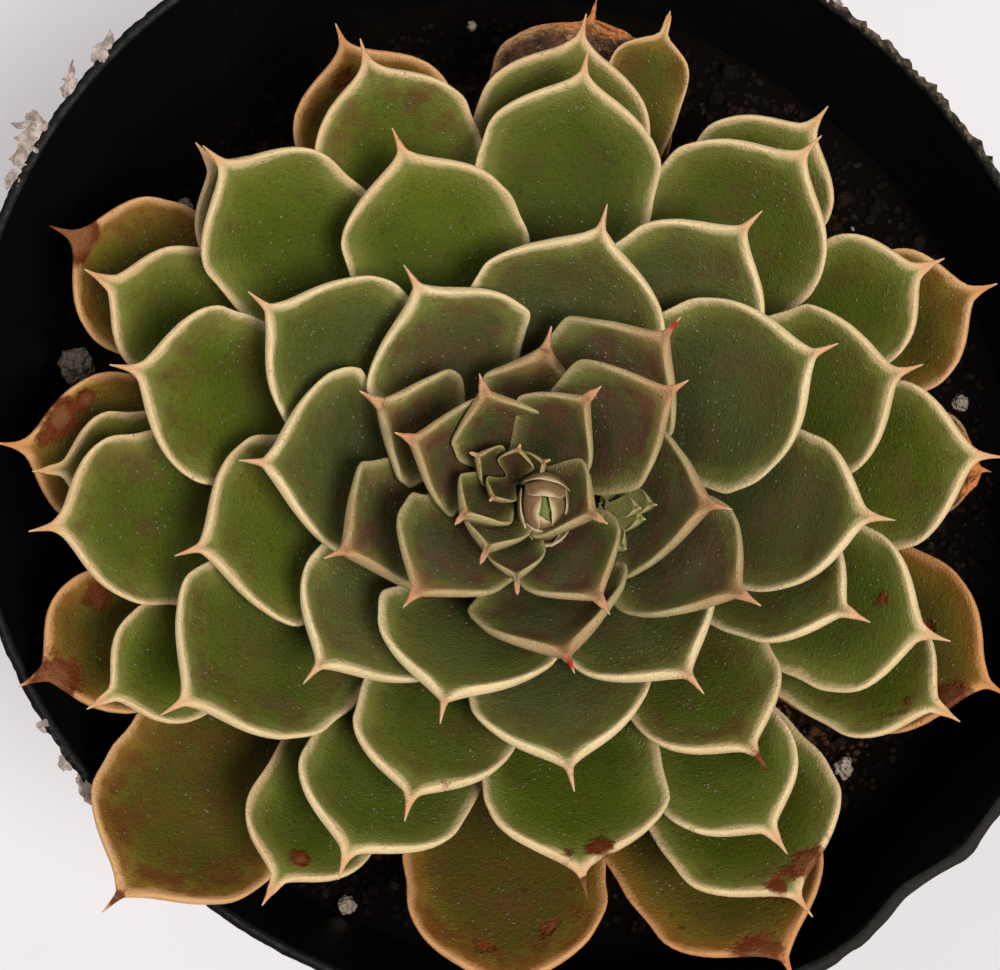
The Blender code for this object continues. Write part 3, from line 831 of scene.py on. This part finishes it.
def blade_form(foot, tip, width, thickness, curl, roll, seed, root=2.6, traits=None):
    """One leaf from its foot to its tip; widths and thicknesses in millimetres."""
    traits = traits or {}
    rng = random.Random(seed)
    foot, tip = Vector(foot) / MM, Vector(tip) / MM
    flat = Vector((tip.x - foot.x, tip.y - foot.y, 0))
    run, rise = flat.length, tip.z - foot.z
    outward = np.array(flat.normalized())
    sideways = np.array((-outward[1], outward[0], 0))
    small = min(1.0, width / SMALL_WIDTH)
    keen = traits.get("keen", 0.0)
    point = min(POINT_LENGTH, run * 0.3) * traits.get("point", 1.0)
    length, steps, out, up, lean = spine_of(run, rise, curl, point)
    along = length * np.sin(np.linspace(0, math.pi / 2, STATIONS))
    from_tip = length - along
    half_width = half_widths(from_tip, length, width, root, point, keen, small)
    thick = [(length * (1 - share), value) for share, value in THICKNESS]
    thick = thickness * eased(thick + [(point, 0.40), (0, 0.12)], from_tip)
    edge = np.minimum(EDGE_THICK * small, thick * 0.85)

    # A margin is never quite even: each side swells and draws in by a little.
    sides = []
    for _ in range(2):
        phase, beat = rng.uniform(0, 6.28), rng.uniform(0.7, 1.3)
        wave = 0.030 * np.sin(along * beat * 0.28 + phase) + 0.010 * np.sin(along * beat + phase * 2)
        sides.append(half_width * (1 + wave * np.clip(from_tip / 6 - 0.5, 0, 1)))
    drift = rng.uniform(-0.35, 0.35) * small
    swerve = drift * np.sin(np.clip(from_tip / (9 * small), 0, 1) * math.pi)
    places = np.linspace(0, STATIONS - 1, BORDER_POINTS)
    border = np.concatenate([
        np.stack([np.interp(places, range(STATIONS), line) for line in (along, swerve + side)], 1)
        for side in (sides[0], -sides[1])
    ])

    # The section goes over the top from side to side, and back below.
    upper = across_blade(sides, np.minimum(BEAD * small, half_width * 0.75))
    section = upper + upper[-2:0:-1]
    count = len(section)
    points = np.zeros((STATIONS, count, 3))
    sway, margin, under = (np.zeros((STATIONS, count)) for _ in range(3))
    spot = along / length
    turn = roll * np.minimum(1, 2 * spot)
    centre_out, centre_up = np.interp(spot, steps, out), np.interp(spot, steps, up)
    slope = np.interp(spot, steps, lean)
    wander = Vector((seed * 3.1, seed * 1.7, 0))
    for j, (place, tall) in enumerate(section):
        top = j < len(upper)
        y = place + swerve
        plan = np.stack([along, y], 1)
        gap = np.sqrt(((plan[:, None] - border[None]) ** 2).sum(2)).min(1)
        sway[:, j], margin[:, j], under[:, j] = y, gap, 0 if top else 1
        aside = np.clip(np.abs(place) / np.maximum(half_width, 0.01), 0, 1)
        body = edge + (thick - edge) * (1 - aside * aside)
        lip = LIP * small * np.clip(1 - gap / (LIP_WIDTH * small), 0, 1) ** 2
        lip *= np.clip(from_tip / (7 * small), 0, 1)
        ripple = np.array([noise.noise(Vector((a * 0.16, b * 0.16, 0)) + wander) for a, b in plan])
        ripple *= RIPPLE * small * np.clip(from_tip / 8, 0, 1) * np.clip(along / 8, 0, 1)
        keel = KEEL * small * np.exp(-(place / 1.3) ** 2) * np.clip(1 - from_tip / (9 * small), 0, 1)
        bowl = (place / (width / 2)) ** 2
        fold = np.sqrt(bowl + 0.02) - 0.141
        level = CUP * width * (bowl * (1 - keen) + 1.25 * fold * keen) + lip + ripple
        level -= keel * (1 if top else 0.5)
        level += thick / 2 - body / 2 * (1 - tall if top else 1 + tall)
        lift = level * np.cos(turn) + y * np.sin(turn)
        reach = centre_out - lift * np.sin(slope)
        points[:, j] = np.array(foot) + np.outer(reach, outward)
        points[:, j] += np.outer(y * np.cos(turn) - level * np.sin(turn), sideways)
        points[:, j, 2] = foot.z + centre_up + lift * np.cos(slope)

    to_tip = np.repeat(from_tip, count)
    values = {
        "margin": margin.ravel() / small, "to_tip": to_tip / small,
        "under": under.ravel(), "along": np.repeat(spot, count), "scar": np.zeros(to_tip.size),
    }
    for trait in ("age", "flush", "bloom", "tone", "redtip"):
        values[trait] = np.full(to_tip.size, traits.get(trait, 0.0))
    for scar_from_tip, scar_side, size, force in traits.get("scars", ()):
        away = np.hypot(to_tip - scar_from_tip, sway.ravel() - scar_side) / size
        values["scar"] = np.maximum(values["scar"], force * np.exp(-away ** 2))
    values = {key: list(row) for key, row in values.items()}
    return points.reshape(-1, 3) * MM, tube_faces(STATIONS, count), values


def leaf_skin(look):
    """Waxy skin: green to olive, a flush of red, a blue-grey bloom, a cream bead and scars."""
    margin, to_tip, under, along, age, flush, bloom, tone, scar = map(
        look.attribute, "margin to_tip under along age flush bloom tone scar".split()
    )
    broad = look.grain(0.009, 3)
    patch = look.grain(0.0032, 4, 0.6)
    fine = look.grain(0.00045, 3, 0.6)
    frost = look.grain(0.00018, 2, 0.7)

    # Green tissue, yellower with age; painted light makes it lighter towards the margin, and painted
    # shade darker towards the foot.
    young = broad.blend((0.036, 0.037, 0.011), (0.086, 0.082, 0.030))
    grown = broad.blend((0.028, 0.043, 0.0010), (0.082, 0.104, 0.004))
    old = broad.blend((0.034, 0.030, 0.002), (0.088, 0.068, 0.005))
    green = age.step(0.0, 0.45).blend(young, grown)
    green = age.step(0.5, 1.0).blend(green, old)
    # Painted light: lighter, yellower green within a few millimetres of the margin, leaving the middle
    # of the cup darker.
    painted_margin_light = margin.step(5.2, 0.8) * 0.52
    lit = age.step(0.5, 1.0).blend((0.150, 0.166, 0.026), (0.205, 0.130, 0.014))
    green = painted_margin_light.blend(green, lit)
    # Painted shade: near-black green towards the foot of the blade, where the leaves above shade it.
    painted_foot_shade = along.step(0.80, 0.30) * 0.85
    green = painted_foot_shade.blend(green, (0.010, 0.013, 0.001))
    lighter = look.node("HueSaturation", None, {"Value": 1.25, "Color": green})
    green = (tone + 0.5).blend(green, lighter)

    # Red flush in patches, strongest a little inside the margin near the tip.
    near = margin.step(6.5, 1.2) * to_tip.step(22.0, 4.0)
    blush = (flush * (near + 0.65) * patch.step(0.36, 0.62)).step(0.0, 1.0)
    green = (blush * 0.85).blend(green, age.blend((0.098, 0.026, 0.020), (0.105, 0.032, 0.004)))
    blotch = look.grain(0.0050, 5, 0.68).step(0.53, 0.64) * (flush + 0.35) * margin.step(0.8, 2.6)
    green = (blotch * 0.60).blend(green, age.blend((0.090, 0.034, 0.022), (0.088, 0.040, 0.010)))

    # Bloom: powdery wax, rubbed thin in streaks.
    rubbed = look.grain(0.0022, 4, 0.6, (1, 0.35, 1)).step(0.38, 0.62)
    powder = bloom * (0.35 + 0.65 * rubbed) * margin.step(0.6, 2.5)
    green = (powder * 0.42).blend(green, (0.118, 0.124, 0.048))
    speck = look.cells(0.0008).step(0.22, 0.08) * look.grain(0.004, 1).step(0.44, 0.60)
    green = (speck * 0.45).blend(green, (0.36, 0.38, 0.26))
    green = (frost.step(0.58, 0.85) * 0.30).blend(green, (0.24, 0.27, 0.08))
    green = (fine.step(0.52, 0.25) * 0.35).blend(green, (0.012, 0.012, 0.001))

    # Brown specks and corky scabs on older leaves.
    dirt = look.cells(0.0021).step(0.24, 0.10) * look.grain(0.006, 2).step(0.50, 0.66) * age
    green = (dirt * 0.8).blend(green, (0.060, 0.022, 0.006))

    # The pale translucent bead along the margin, softest on the youngest leaves, and the point.
    soft = age.step(0.16, 0.02)
    ragged = margin + (fine - 0.5) * 0.45 + (patch - 0.5) * 1.3
    rooted = 0.35 + 0.65 * along.step(0.20, 0.62)
    halo = ragged.step(2.8, 0.7) * rooted
    green = (halo * 0.52).blend(
        green, age.step(0.5, 1.0).blend((0.235, 0.240, 0.060), (0.28, 0.115, 0.020))
    )
    cream = patch.blend((0.52, 0.415, 0.205), (0.80, 0.645, 0.40))
    cream = soft.blend(cream, patch.blend((0.25, 0.205, 0.085), (0.50, 0.41, 0.215)))
    rust = patch.blend((0.42, 0.155, 0.050), (0.62, 0.31, 0.11))
    edge = (age ** 2.2 * 0.9).blend(cream, rust)
    bead = ragged.step(1.15, 0.20) * rooted
    skin = bead.blend(green, edge)
    salmon = age.blend((0.60, 0.30, 0.17), (0.50, 0.18, 0.060))
    tip = (to_tip + (patch - 0.5) * 1.2).step(3.6, 1.3)
    skin = (tip * 0.68).blend(skin, salmon)
    warm = (to_tip + (patch - 0.5) * 2.5).step(7.5, 2.5) * soft
    skin = (warm * 0.34).blend(skin, (0.42, 0.15, 0.080))
    hot = to_tip.step(2.0, 1.0) * look.attribute("redtip")
    skin = hot.blend(skin, (0.42, 0.022, 0.018))
    skin = to_tip.step(0.7, 0.1).blend(skin, (0.62, 0.42, 0.28))

    # The underside is paler and frosted.
    below = under * margin.step(0.5, 1.4)
    skin = (below * 0.8).blend(skin, age.blend((0.20, 0.19, 0.110), (0.20, 0.13, 0.040)))

    # Scars: dried, glossy red-brown tissue with a corky ring.
    hurt = (scar + (patch - 0.5) * 1.1 + (fine - 0.5) * 0.3).step(0.34, 0.62)
    core = (scar + (fine - 0.5) * 0.5).step(0.62, 0.9)
    skin = hurt.blend(skin, patch.blend((0.065, 0.010, 0.003), (0.17, 0.040, 0.009)))
    skin = (core * 0.6).blend(skin, (0.24, 0.105, 0.042))
    rough = 0.52 + powder * 0.16 + below * 0.1 - hurt * 0.14 + (fine - 0.5) * 0.12
    height = fine * 0.6 + frost * 0.7 + speck * 0.5 + hurt * patch * 1.5
    return skin, rough, height, 0.00026


# Ring of leaves: curl in degrees, thickness, age, flush, bloom, keenness, leaves in it.
RINGS = (
    (18, 2.2, 0.00, 0.74, 0.70, 0.80, 7), (16, 2.45, 0.22, 0.24, 0.40, 0.30, 12),
    (13, 2.45, 0.42, 0.20, 0.12, 0.08, 15), (10, 2.25, 0.55, 0.28, 0.08, 0.12, 12),
    (8, 2.05, 0.95, 0.46, 0.05, 0.08, 9),
)
# Leaves with marks of their own: (from the tip, to the left, size, force), in millimetres.
SCARS = {
    21: ((4.5, 3.0, 2.0, 0.5),),
    23: ((1.0, 0.0, 1.6, 0.8),),
    26: ((4.6, 1.6, 1.9, 0.75), (4.2, -1.6, 1.7, 0.65), (0.8, 0.0, 1.4, 1.1)),
    31: ((8.0, 2.0, 2.0, 0.5), (6.0, -3.0, 1.6, 0.45)),
    45: ((4.6, 2.2, 2.6, 0.95), (4.2, -1.4, 1.6, 0.7)),
    43: ((6.0, -2.0, 2.2, 0.6),),
    42: ((6.0, 1.0, 1.4, 0.9),),
    47: ((11.0, -1.0, 1.1, 1.0), (6.0, 1.5, 1.6, 0.8)),
    48: ((6.0, -3.2, 2.2, 1.0), (8.6, -5.2, 1.6, 0.9), (4.4, -0.6, 1.1, 0.7)),
    50: ((3.5, 1.0, 3.4, 0.9), (12.0, -5.0, 2.2, 0.75), (16.0, 5.0, 1.8, 0.7)),
    51: ((2.5, 0.0, 3.2, 1.1), (10.0, 2.0, 1.0, 0.9), (13.0, -2.0, 0.8, 0.9)),
    52: ((5.0, -2.5, 3.0, 0.8), (11.0, 3.0, 1.3, 0.8), (15.0, -4.0, 1.0, 0.8)),
    53: ((10.0, 4.5, 1.3, 1.0), (7.5, -2.0, 1.0, 0.95), (15.0, 1.0, 0.8, 0.8)),
    54: ((3.5, -2.0, 3.6, 0.8), (9.0, 4.0, 2.4, 0.7)),
    55: ((2.0, 0.0, 1.6, 0.8),),
}
RED_TIPS = (4, 6, 23, 26)
OLD_FROM = 47  # number of the first leaf of the lowest ring
leaf_finish = finish(
    "leaf_skin", leaf_skin, IOR=1.42, Specular_IOR_Level=0.17, Subsurface_Weight=0.16,
    Subsurface_Radius=(1.0, 0.60, 0.22), Subsurface_Scale=0.0012,
)


def leaf_facts(node):
    """Foot, tip, width and roll of a leaf of the CAD model."""
    points = np.array([vertex.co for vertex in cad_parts[node].data.vertices])
    points = np.unique(np.round(points, 7), axis=0)
    axis = np.array(stem_axis(float(points[:, 2].mean())))
    away = points[:, :2] - axis[:2]
    heading = away.mean(0) / np.linalg.norm(away.mean(0))
    for _ in range(3):
        out = points[:, :2] @ heading
        foot = points[out < out.min() + 1.2 * MM].mean(0)
        tip = points[out > out.max() - 0.5 * MM].mean(0)
        level = tip[:2] - foot[:2]
        heading = level / np.linalg.norm(level)
    side = np.array((-heading[1], heading[0]))
    sway = (points[:, :2] - foot[:2]) @ side
    left, right = points[sway.argmax()], points[sway.argmin()]
    across = float((left[:2] - right[:2]) @ side)
    tilt = math.atan2(tip[2] - foot[2], float(np.linalg.norm(level)))
    drop = float(left[2] - right[2]) / max(0.3, math.cos(tilt))
    return foot, tip, math.hypot(across, drop) / MM, math.atan2(drop, across)


number = 0
for curl, thickness, age, flush, bloom, keen, count in RINGS:
    for _ in range(count):
        number += 1
        node = f"leaf_{number:02d}"
        foot, tip, width, roll = leaf_facts(node)
        luck = random.Random(number)
        traits = {
            "age": min(1, max(0, age + luck.uniform(-0.08, 0.08))),
            "flush": min(1, max(0, flush + luck.uniform(-0.25, 0.25))),
            "bloom": min(1, max(0, bloom + luck.uniform(-0.15, 0.15))),
            "tone": luck.uniform(-0.5, 0.5),
            "keen": min(1, max(0, keen + luck.uniform(-0.12, 0.12))),
            "redtip": float(number in RED_TIPS),
            "scars": SCARS.get(number, ()),
        }
        leaf = blade_form(
            foot, tip, width, thickness, math.radians(curl), roll, number, traits=traits
        )
        slot = "old_leaf" if number >= OLD_FROM else "green_leaf"
        belongs(solid(f"blade_{number:02d}", leaf, leaf_finish), slot, node)

# Heart: the youngest leaves, still folded together round the growing tip of the stem.
# They are grey-purple under their bloom, with flushed edges and short pink points.
UNIT = float(RIM_MEAN) / 60
HEART_TIP_HEIGHT = 26
HEART_LEAVES = (  # direction, reach, width, height of the foot over the stem's top, tilt
    (226, 3.2, 3.6, 6.4, 62), (78, 3.4, 3.8, 6.0, 62), (27, 4.0, 3.8, 5.6, 58),
    (149, 4.8, 4.6, 5.2, 56), (221, 7.2, 7.2, 4.6, 54), (250, 9.0, 7.0, 4.0, 50),
    (332, 10, 9.5, 3.6, 49), (45, 11.7, 10.5, 3.2, 48), (272, 11.4, 5.7, 2.8, 47),
    (108, 10.2, 11.5, 2.6, 50), (160, 11.8, 12.5, 2.2, 47), (304, 16, 11.5, 1.8, 42),
    (231, 16.2, 13.4, 1.5, 42), (28, 18.6, 14.3, 1.2, 40),
)
INMOST = 6  # how many of them are the smallest and darkest
HEART_SEED = 90
CORE_ROWS = 12
CORE_AROUND = 32
CORE_REACH = 3.0
CORE_TALL = 7.2


def heart_core_form(keys):
    """The short dome of the growing tip, with a value under each key that the leaves have."""
    points = []
    for i in range(CORE_ROWS + 1):
        lift = i / CORE_ROWS
        reach = CORE_REACH * math.sqrt(max(0.0, 1 - lift ** 2.4)) * UNIT
        centre = stem_axis(STEM_TOP.z + (0.3 * MM + CORE_TALL * lift * UNIT))
        for j in range(CORE_AROUND):
            turn = 2 * math.pi * j / CORE_AROUND
            points.append(
                (centre.x + reach * math.cos(turn), centre.y + reach * math.sin(turn), centre.z)
            )
    given = {"margin": 9.0, "to_tip": 30.0, "flush": 0.8}
    values = {key: [given.get(key, 0.0)] * len(points) for key in keys}
    return points, tube_faces(CORE_ROWS + 1, CORE_AROUND), values


forms = []
heart_axis = stem_axis(POT_HEIGHT + HEART_TIP_HEIGHT * UNIT)
for i, (turn, reach, width, rise, lean) in enumerate(HEART_LEAVES):
    angle = math.radians(turn)
    way = Vector((math.cos(angle), math.sin(angle), 0))
    flat = Vector((heart_axis.x, heart_axis.y, 0)) + way * reach * UNIT
    foot = stem_axis(STEM_TOP.z + rise * UNIT)
    run = (flat - Vector((foot.x, foot.y, 0))).length
    tip = Vector((flat.x, flat.y, foot.z + run * math.tan(math.radians(lean + 1.5))))
    forms.append(blade_form(
        foot, tip, width, 1.7 * min(1, width / 8), math.radians(12), 0, HEART_SEED + i, 1.6,
        {
            "age": 0.0, "flush": 0.7, "bloom": 0.35, "tone": -0.5 if i < INMOST else -0.2,
            "keen": 0.95, "point": 0.8,
        },
    ))
forms.append(heart_core_form(forms[0][2]))
belongs(solid("heart_leaves", joined(forms), leaf_finish), "young_leaf", "heart")

# Flower bud: a young stalk of closed scales that pushes up beside the growing tip.
# A second, greener one shows between two leaves further out.
HOOD_ROWS = 22
HOOD_COLUMNS = 17
HOOD_THICK = 0.30


def bud_skin(look):
    margin, to_tip, tone = map(look.attribute, ("margin", "to_tip", "tone"))
    patch = look.grain(0.0012, 3)
    fine = look.grain(0.0003, 3)
    green = patch.blend((0.085, 0.100, 0.022), (0.210, 0.225, 0.070))
    pink = patch.blend((0.145, 0.062, 0.034), (0.29, 0.155, 0.088))
    skin = tone.blend(green, pink)
    skin = (margin.step(0.55, 0.05) * 0.5).blend(skin, (0.40, 0.33, 0.18))
    skin = (to_tip.step(0.8, 0.1) * 0.8).blend(skin, (0.56, 0.45, 0.28))
    return skin, None, fine, 0.00012


def hood_form(middle, radii, tilt, turn, low, high, spread, lift, tone):
    """A hooded scale of the bud: a patch of an egg-shaped shell, from angles low to high."""
    rows, columns = HOOD_ROWS, HOOD_COLUMNS
    lean = Matrix.Rotation(tilt, 3, "X")
    points, faces, values = [], [], {"margin": [], "to_tip": [], "tone": []}
    for side in (0, 1):
        for i in range(rows + 1):
            share = i / rows
            polar = math.radians(low + (high - low) * share)
            half = math.radians(spread) * math.sin(math.pi * (0.15 + 0.85 * share) ** 1.8) ** 0.7
            for j in range(columns + 1):
                across = 2 * j / columns - 1
                angle = math.radians(turn) + across * half / max(0.30, math.sin(polar))
                grown = lift + 0.30 * share ** 4 + 0.16 * abs(across) ** 3 * math.sin(math.pi * share)
                grown -= side * HOOD_THICK * (1 - 0.6 * abs(across) ** 3)
                spot = Vector((
                    (radii[0] + grown) * math.sin(polar) * math.cos(angle),
                    (radii[1] + grown) * math.sin(polar) * math.sin(angle),
                    (radii[2] + grown) * math.cos(polar),
                ))
                points.append((middle + lean @ spot) * MM)
                values["margin"].append(4.0 * (1 - abs(across)))
                values["to_tip"].append(5.0 * (1 - share))
                values["tone"].append(tone * (0.6 + 0.4 * share) - 0.3 * side)
    line = columns + 1
    size = (rows + 1) * line
    for i in range(rows):
        for a in range(i * line, i * line + columns):
            b, c, d = a + 1, a + line + 1, a + line
            faces += [(a, b, c, d), (a + size, d + size, c + size, b + size)]
    edge = [*range(line), *range(line + columns, size, line)]
    edge += [*range(size - 2, rows * line - 1, -1), *range((rows - 1) * line, 0, -line)]
    for a, b in zip(edge, edge[1:] + edge[:1]):
        faces.append((a, a + size, b + size, b))
    return points, faces, values


def core_form(middle, radii, tilt):
    """The green inside of the bud, a closed egg."""
    ball = bmesh.new()
    bmesh.ops.create_icosphere(ball, subdivisions=4, radius=1)
    lean = Matrix.Rotation(tilt, 3, "X")
    points = []
    for vertex in ball.verts:
        pleat = 1 + 0.07 * math.sin(5 * math.atan2(vertex.co.y, vertex.co.x))
        spot = Vector([vertex.co[k] * radii[k] * pleat for k in range(3)])
        points.append((middle + lean @ spot) * MM)
    faces = [tuple(vertex.index for vertex in face.verts) for face in ball.faces]
    ball.free()
    count = len(points)
    return points, faces, {"margin": [5.0] * count, "to_tip": [5.0] * count, "tone": [0.0] * count}


bud_finish = finish(
    "bud_scales", bud_skin, 0.6, Specular_IOR_Level=0.12, Subsurface_Weight=0.10,
    Subsurface_Radius=(1.0, 0.6, 0.3), Subsurface_Scale=0.0008,
)
RIM_AXIS = stem_axis(POT_HEIGHT) / MM
BUD_MIDDLE = RIM_AXIS + Vector((3.0, -5.4, 24.6))
BUD_RADII = (2.05, 2.75, 2.7)
BUD_TILT = math.radians(16)
HOODS = (  # turn round the bud, angles of foot and tip from its end, spread, lift, pinkness
    (80, 150, 58, 56, 0.70, 0.8), (285, 150, 80, 52, 0.75, 0.9), (200, 150, 50, 56, 0.50, 1.0),
    (345, 150, 46, 56, 0.52, 0.6), (86, 135, 30, 50, 0.36, 0.8), (262, 140, 32, 56, 0.34, 0.9),
    (176, 135, 12, 50, 0.16, 1.0), (8, 135, 16, 50, 0.22, 0.6), (240, 120, 8, 40, 0.02, 0.7),
)
hoods = [core_form(BUD_MIDDLE, [0.86 * reach for reach in BUD_RADII], BUD_TILT)]
for hood in HOODS:
    hoods.append(hood_form(BUD_MIDDLE, BUD_RADII, BUD_TILT, *hood))
belongs(solid("flower_bud_scales", joined(hoods), bud_finish), "bud_scale", "flower_bud")
SIDE_SCALES = (  # foot and tip from the plant's axis at the rim, width
    ((8.6, -3.9, 20.6), (13.9, -5.0, 23.6), 2.7), ((8.2, -5.6, 20.8), (12.8, -6.4, 23.6), 3.2),
    ((9.0, -4.9, 21.4), (12.3, -5.4, 24.4), 2.2), ((8.4, -6.6, 21.2), (10.9, -9.3, 23.8), 2.6),
)
SIDE_SEED = 340
side_scales = [
    blade_form(
        (RIM_AXIS + Vector(foot)) * MM, (RIM_AXIS + Vector(tip)) * MM, width, 1.5, math.radians(26),
        0, SIDE_SEED + i, width * 0.34, {"tone": 0.2, "keen": 0.3, "point": 0.3},
    )
    for i, (foot, tip, width) in enumerate(SIDE_SCALES)
]
belongs(solid("side_bud_scales", joined(side_scales), bud_finish), "bud_scale")

# Withered leaves: old blades that have died, shrunk and curled, still held by their feet.
# They are papery, red-brown to black, with the orange point left on them.
WITHERED = (  # direction, tip's reach, width, heights of foot and tip over the rim, roll
    (80.0, 52.4, 20.5, -13, -1.5, 0.0), (1.0, 51.6, 12.5, -12, -8, -0.30),
    (126, 42.8, 9.0, -12, -7, 0.4),
)
WITHERED_SEED = 400
FOOT_REACH = 6


def withered_skin(look):
    to_tip, margin = look.attribute("to_tip"), look.attribute("margin")
    patch = look.grain(0.0035, 5, 0.65)
    vein = look.grain(0.0011, 4, 0.6)
    colour = patch.step(0.35, 0.65).blend((0.008, 0.003, 0.002), (0.13, 0.045, 0.012))
    colour = vein.step(0.56, 0.70).blend(colour, (0.30, 0.155, 0.055))
    border = (margin + (vein - 0.5) * 1.6).step(1.2, 0.3)
    colour = border.blend(colour, (0.34, 0.19, 0.085))
    point = (to_tip + (patch - 0.5) * 6).step(4.2, 2.2)
    colour = point.blend(colour, (0.50, 0.17, 0.040))
    return colour, None, patch + vein, 0.0009


withered_finish = finish("withered_skin", withered_skin, 0.55)


def leaf_ends(turn, reach, low, high):
    """Foot and tip of an old leaf, from its direction, reach and heights over the rim."""
    angle = math.radians(turn)
    way = Vector((math.cos(angle), math.sin(angle), 0))
    foot = stem_axis(POT_HEIGHT + low * UNIT) + way * FOOT_REACH * UNIT
    tip = stem_axis(POT_HEIGHT + high * UNIT) + way * reach * UNIT
    return foot, tip


forms = []
for i, (turn, reach, width, low, high, roll) in enumerate(WITHERED):
    points, faces, values = blade_form(
        *leaf_ends(turn, reach, low, high), width, 1.3, math.radians(14), roll, WITHERED_SEED + i,
        traits={"point": 0.35},
    )
    crumpled = []
    for x, y, z in points:
        spot = Vector((x, y, z)) * 1000
        fold = noise.noise(spot * 0.35) * 1.4 + abs(noise.noise(spot * 0.8)) * 1.5
        crumpled.append((x, y, z + fold * MM))
    forms.append((crumpled, faces, values))
belongs(solid("withered_leaves", joined(forms), withered_finish), "old_leaf")

# Slender leaf: one more old leaf, narrow and still fleshy, on the far side of the plant.
# It stands between two broader ones, and has the skin of the grown leaves.
SLENDER_SEED = 77
slender = blade_form(
    *leaf_ends(71.4, 52.8, -11, 1), 8.6, 1.9, math.radians(8), 0, SLENDER_SEED,
    traits={"age": 0.8, "flush": 0.5, "bloom": 0.1},
)
belongs(solid("slender_leaf", slender, leaf_finish), "old_leaf")

# Stage: a plain pale floor, soft light from above and all round, and the camera overhead.
FLOOR_SIZE = 3.0
floor_mesh = bpy.data.meshes.new("floor")
floor_corners = [(x * FLOOR_SIZE, y * FLOOR_SIZE, 0) for x, y in ((-1, -1), (1, -1), (1, 1), (-1, 1))]
floor_mesh.from_pydata(floor_corners, [], [(0, 1, 2, 3)])
floor = bpy.data.objects.new("floor", floor_mesh)
bpy.context.scene.collection.objects.link(floor)


def pale_board(look):
    cloud = look.grain(0.02, 4)
    fine = look.grain(0.001, 3)
    return cloud.blend((0.36, 0.345, 0.37), (0.39, 0.375, 0.40)), None, fine, 0.00005


floor.data.materials.append(finish(
    "pale_board", pale_board, 0.8, Emission_Color=(0.97, 0.93, 0.94, 1), Emission_Strength=0.36,
))

world = bpy.data.worlds.new("studio")
world.use_nodes = True
sky = world.node_tree.nodes["Background"].inputs
sky["Color"].default_value = (1.0, 0.975, 0.93, 1)
sky["Strength"].default_value = 0.27
bpy.context.scene.world = world


def softbox(name, place, aim, size, power, colour):
    data = bpy.data.lights.new(name, "AREA")
    data.shape = "DISK"
    data.size = size
    data.energy = power
    data.color = colour
    lamp = bpy.data.objects.new(name, data)
    lamp.location = place
    lamp.rotation_euler = (Vector(aim) - Vector(place)).to_track_quat("-Z", "Y").to_euler()
    bpy.context.scene.collection.objects.link(lamp)


LIGHT_AIM = (0, 0, 0.1)
softbox("key", (0.70, -0.58, 2.25), LIGHT_AIM, 0.80, 60, (1.0, 0.955, 0.89))
softbox("fill", (-0.80, 0.60, 2.10), LIGHT_AIM, 1.50, 16, (1.0, 0.98, 0.95))

VIEW_TARGET = Vector((-3.13, -4.83, 110)) * MM
VIEW_RISE = math.radians(84)
VIEW_DISTANCE = 0.300
SENSOR = 36.0
VIEW_WIDTH = 0.101  # of the object's plane across the picture
camera_data = bpy.data.cameras.new("camera")
camera_data.sensor_width = SENSOR
camera_data.lens = SENSOR * VIEW_DISTANCE / VIEW_WIDTH
camera_data.clip_start = 0.01
camera = bpy.data.objects.new("camera", camera_data)
towards = Vector((0, -math.cos(VIEW_RISE), math.sin(VIEW_RISE)))
camera.location = VIEW_TARGET + towards * VIEW_DISTANCE
camera.rotation_euler = (-towards).to_track_quat("-Z", "Y").to_euler()
bpy.context.scene.collection.objects.link(camera)
bpy.context.scene.camera = camera
bpy.context.scene.view_settings.view_transform = "Standard"
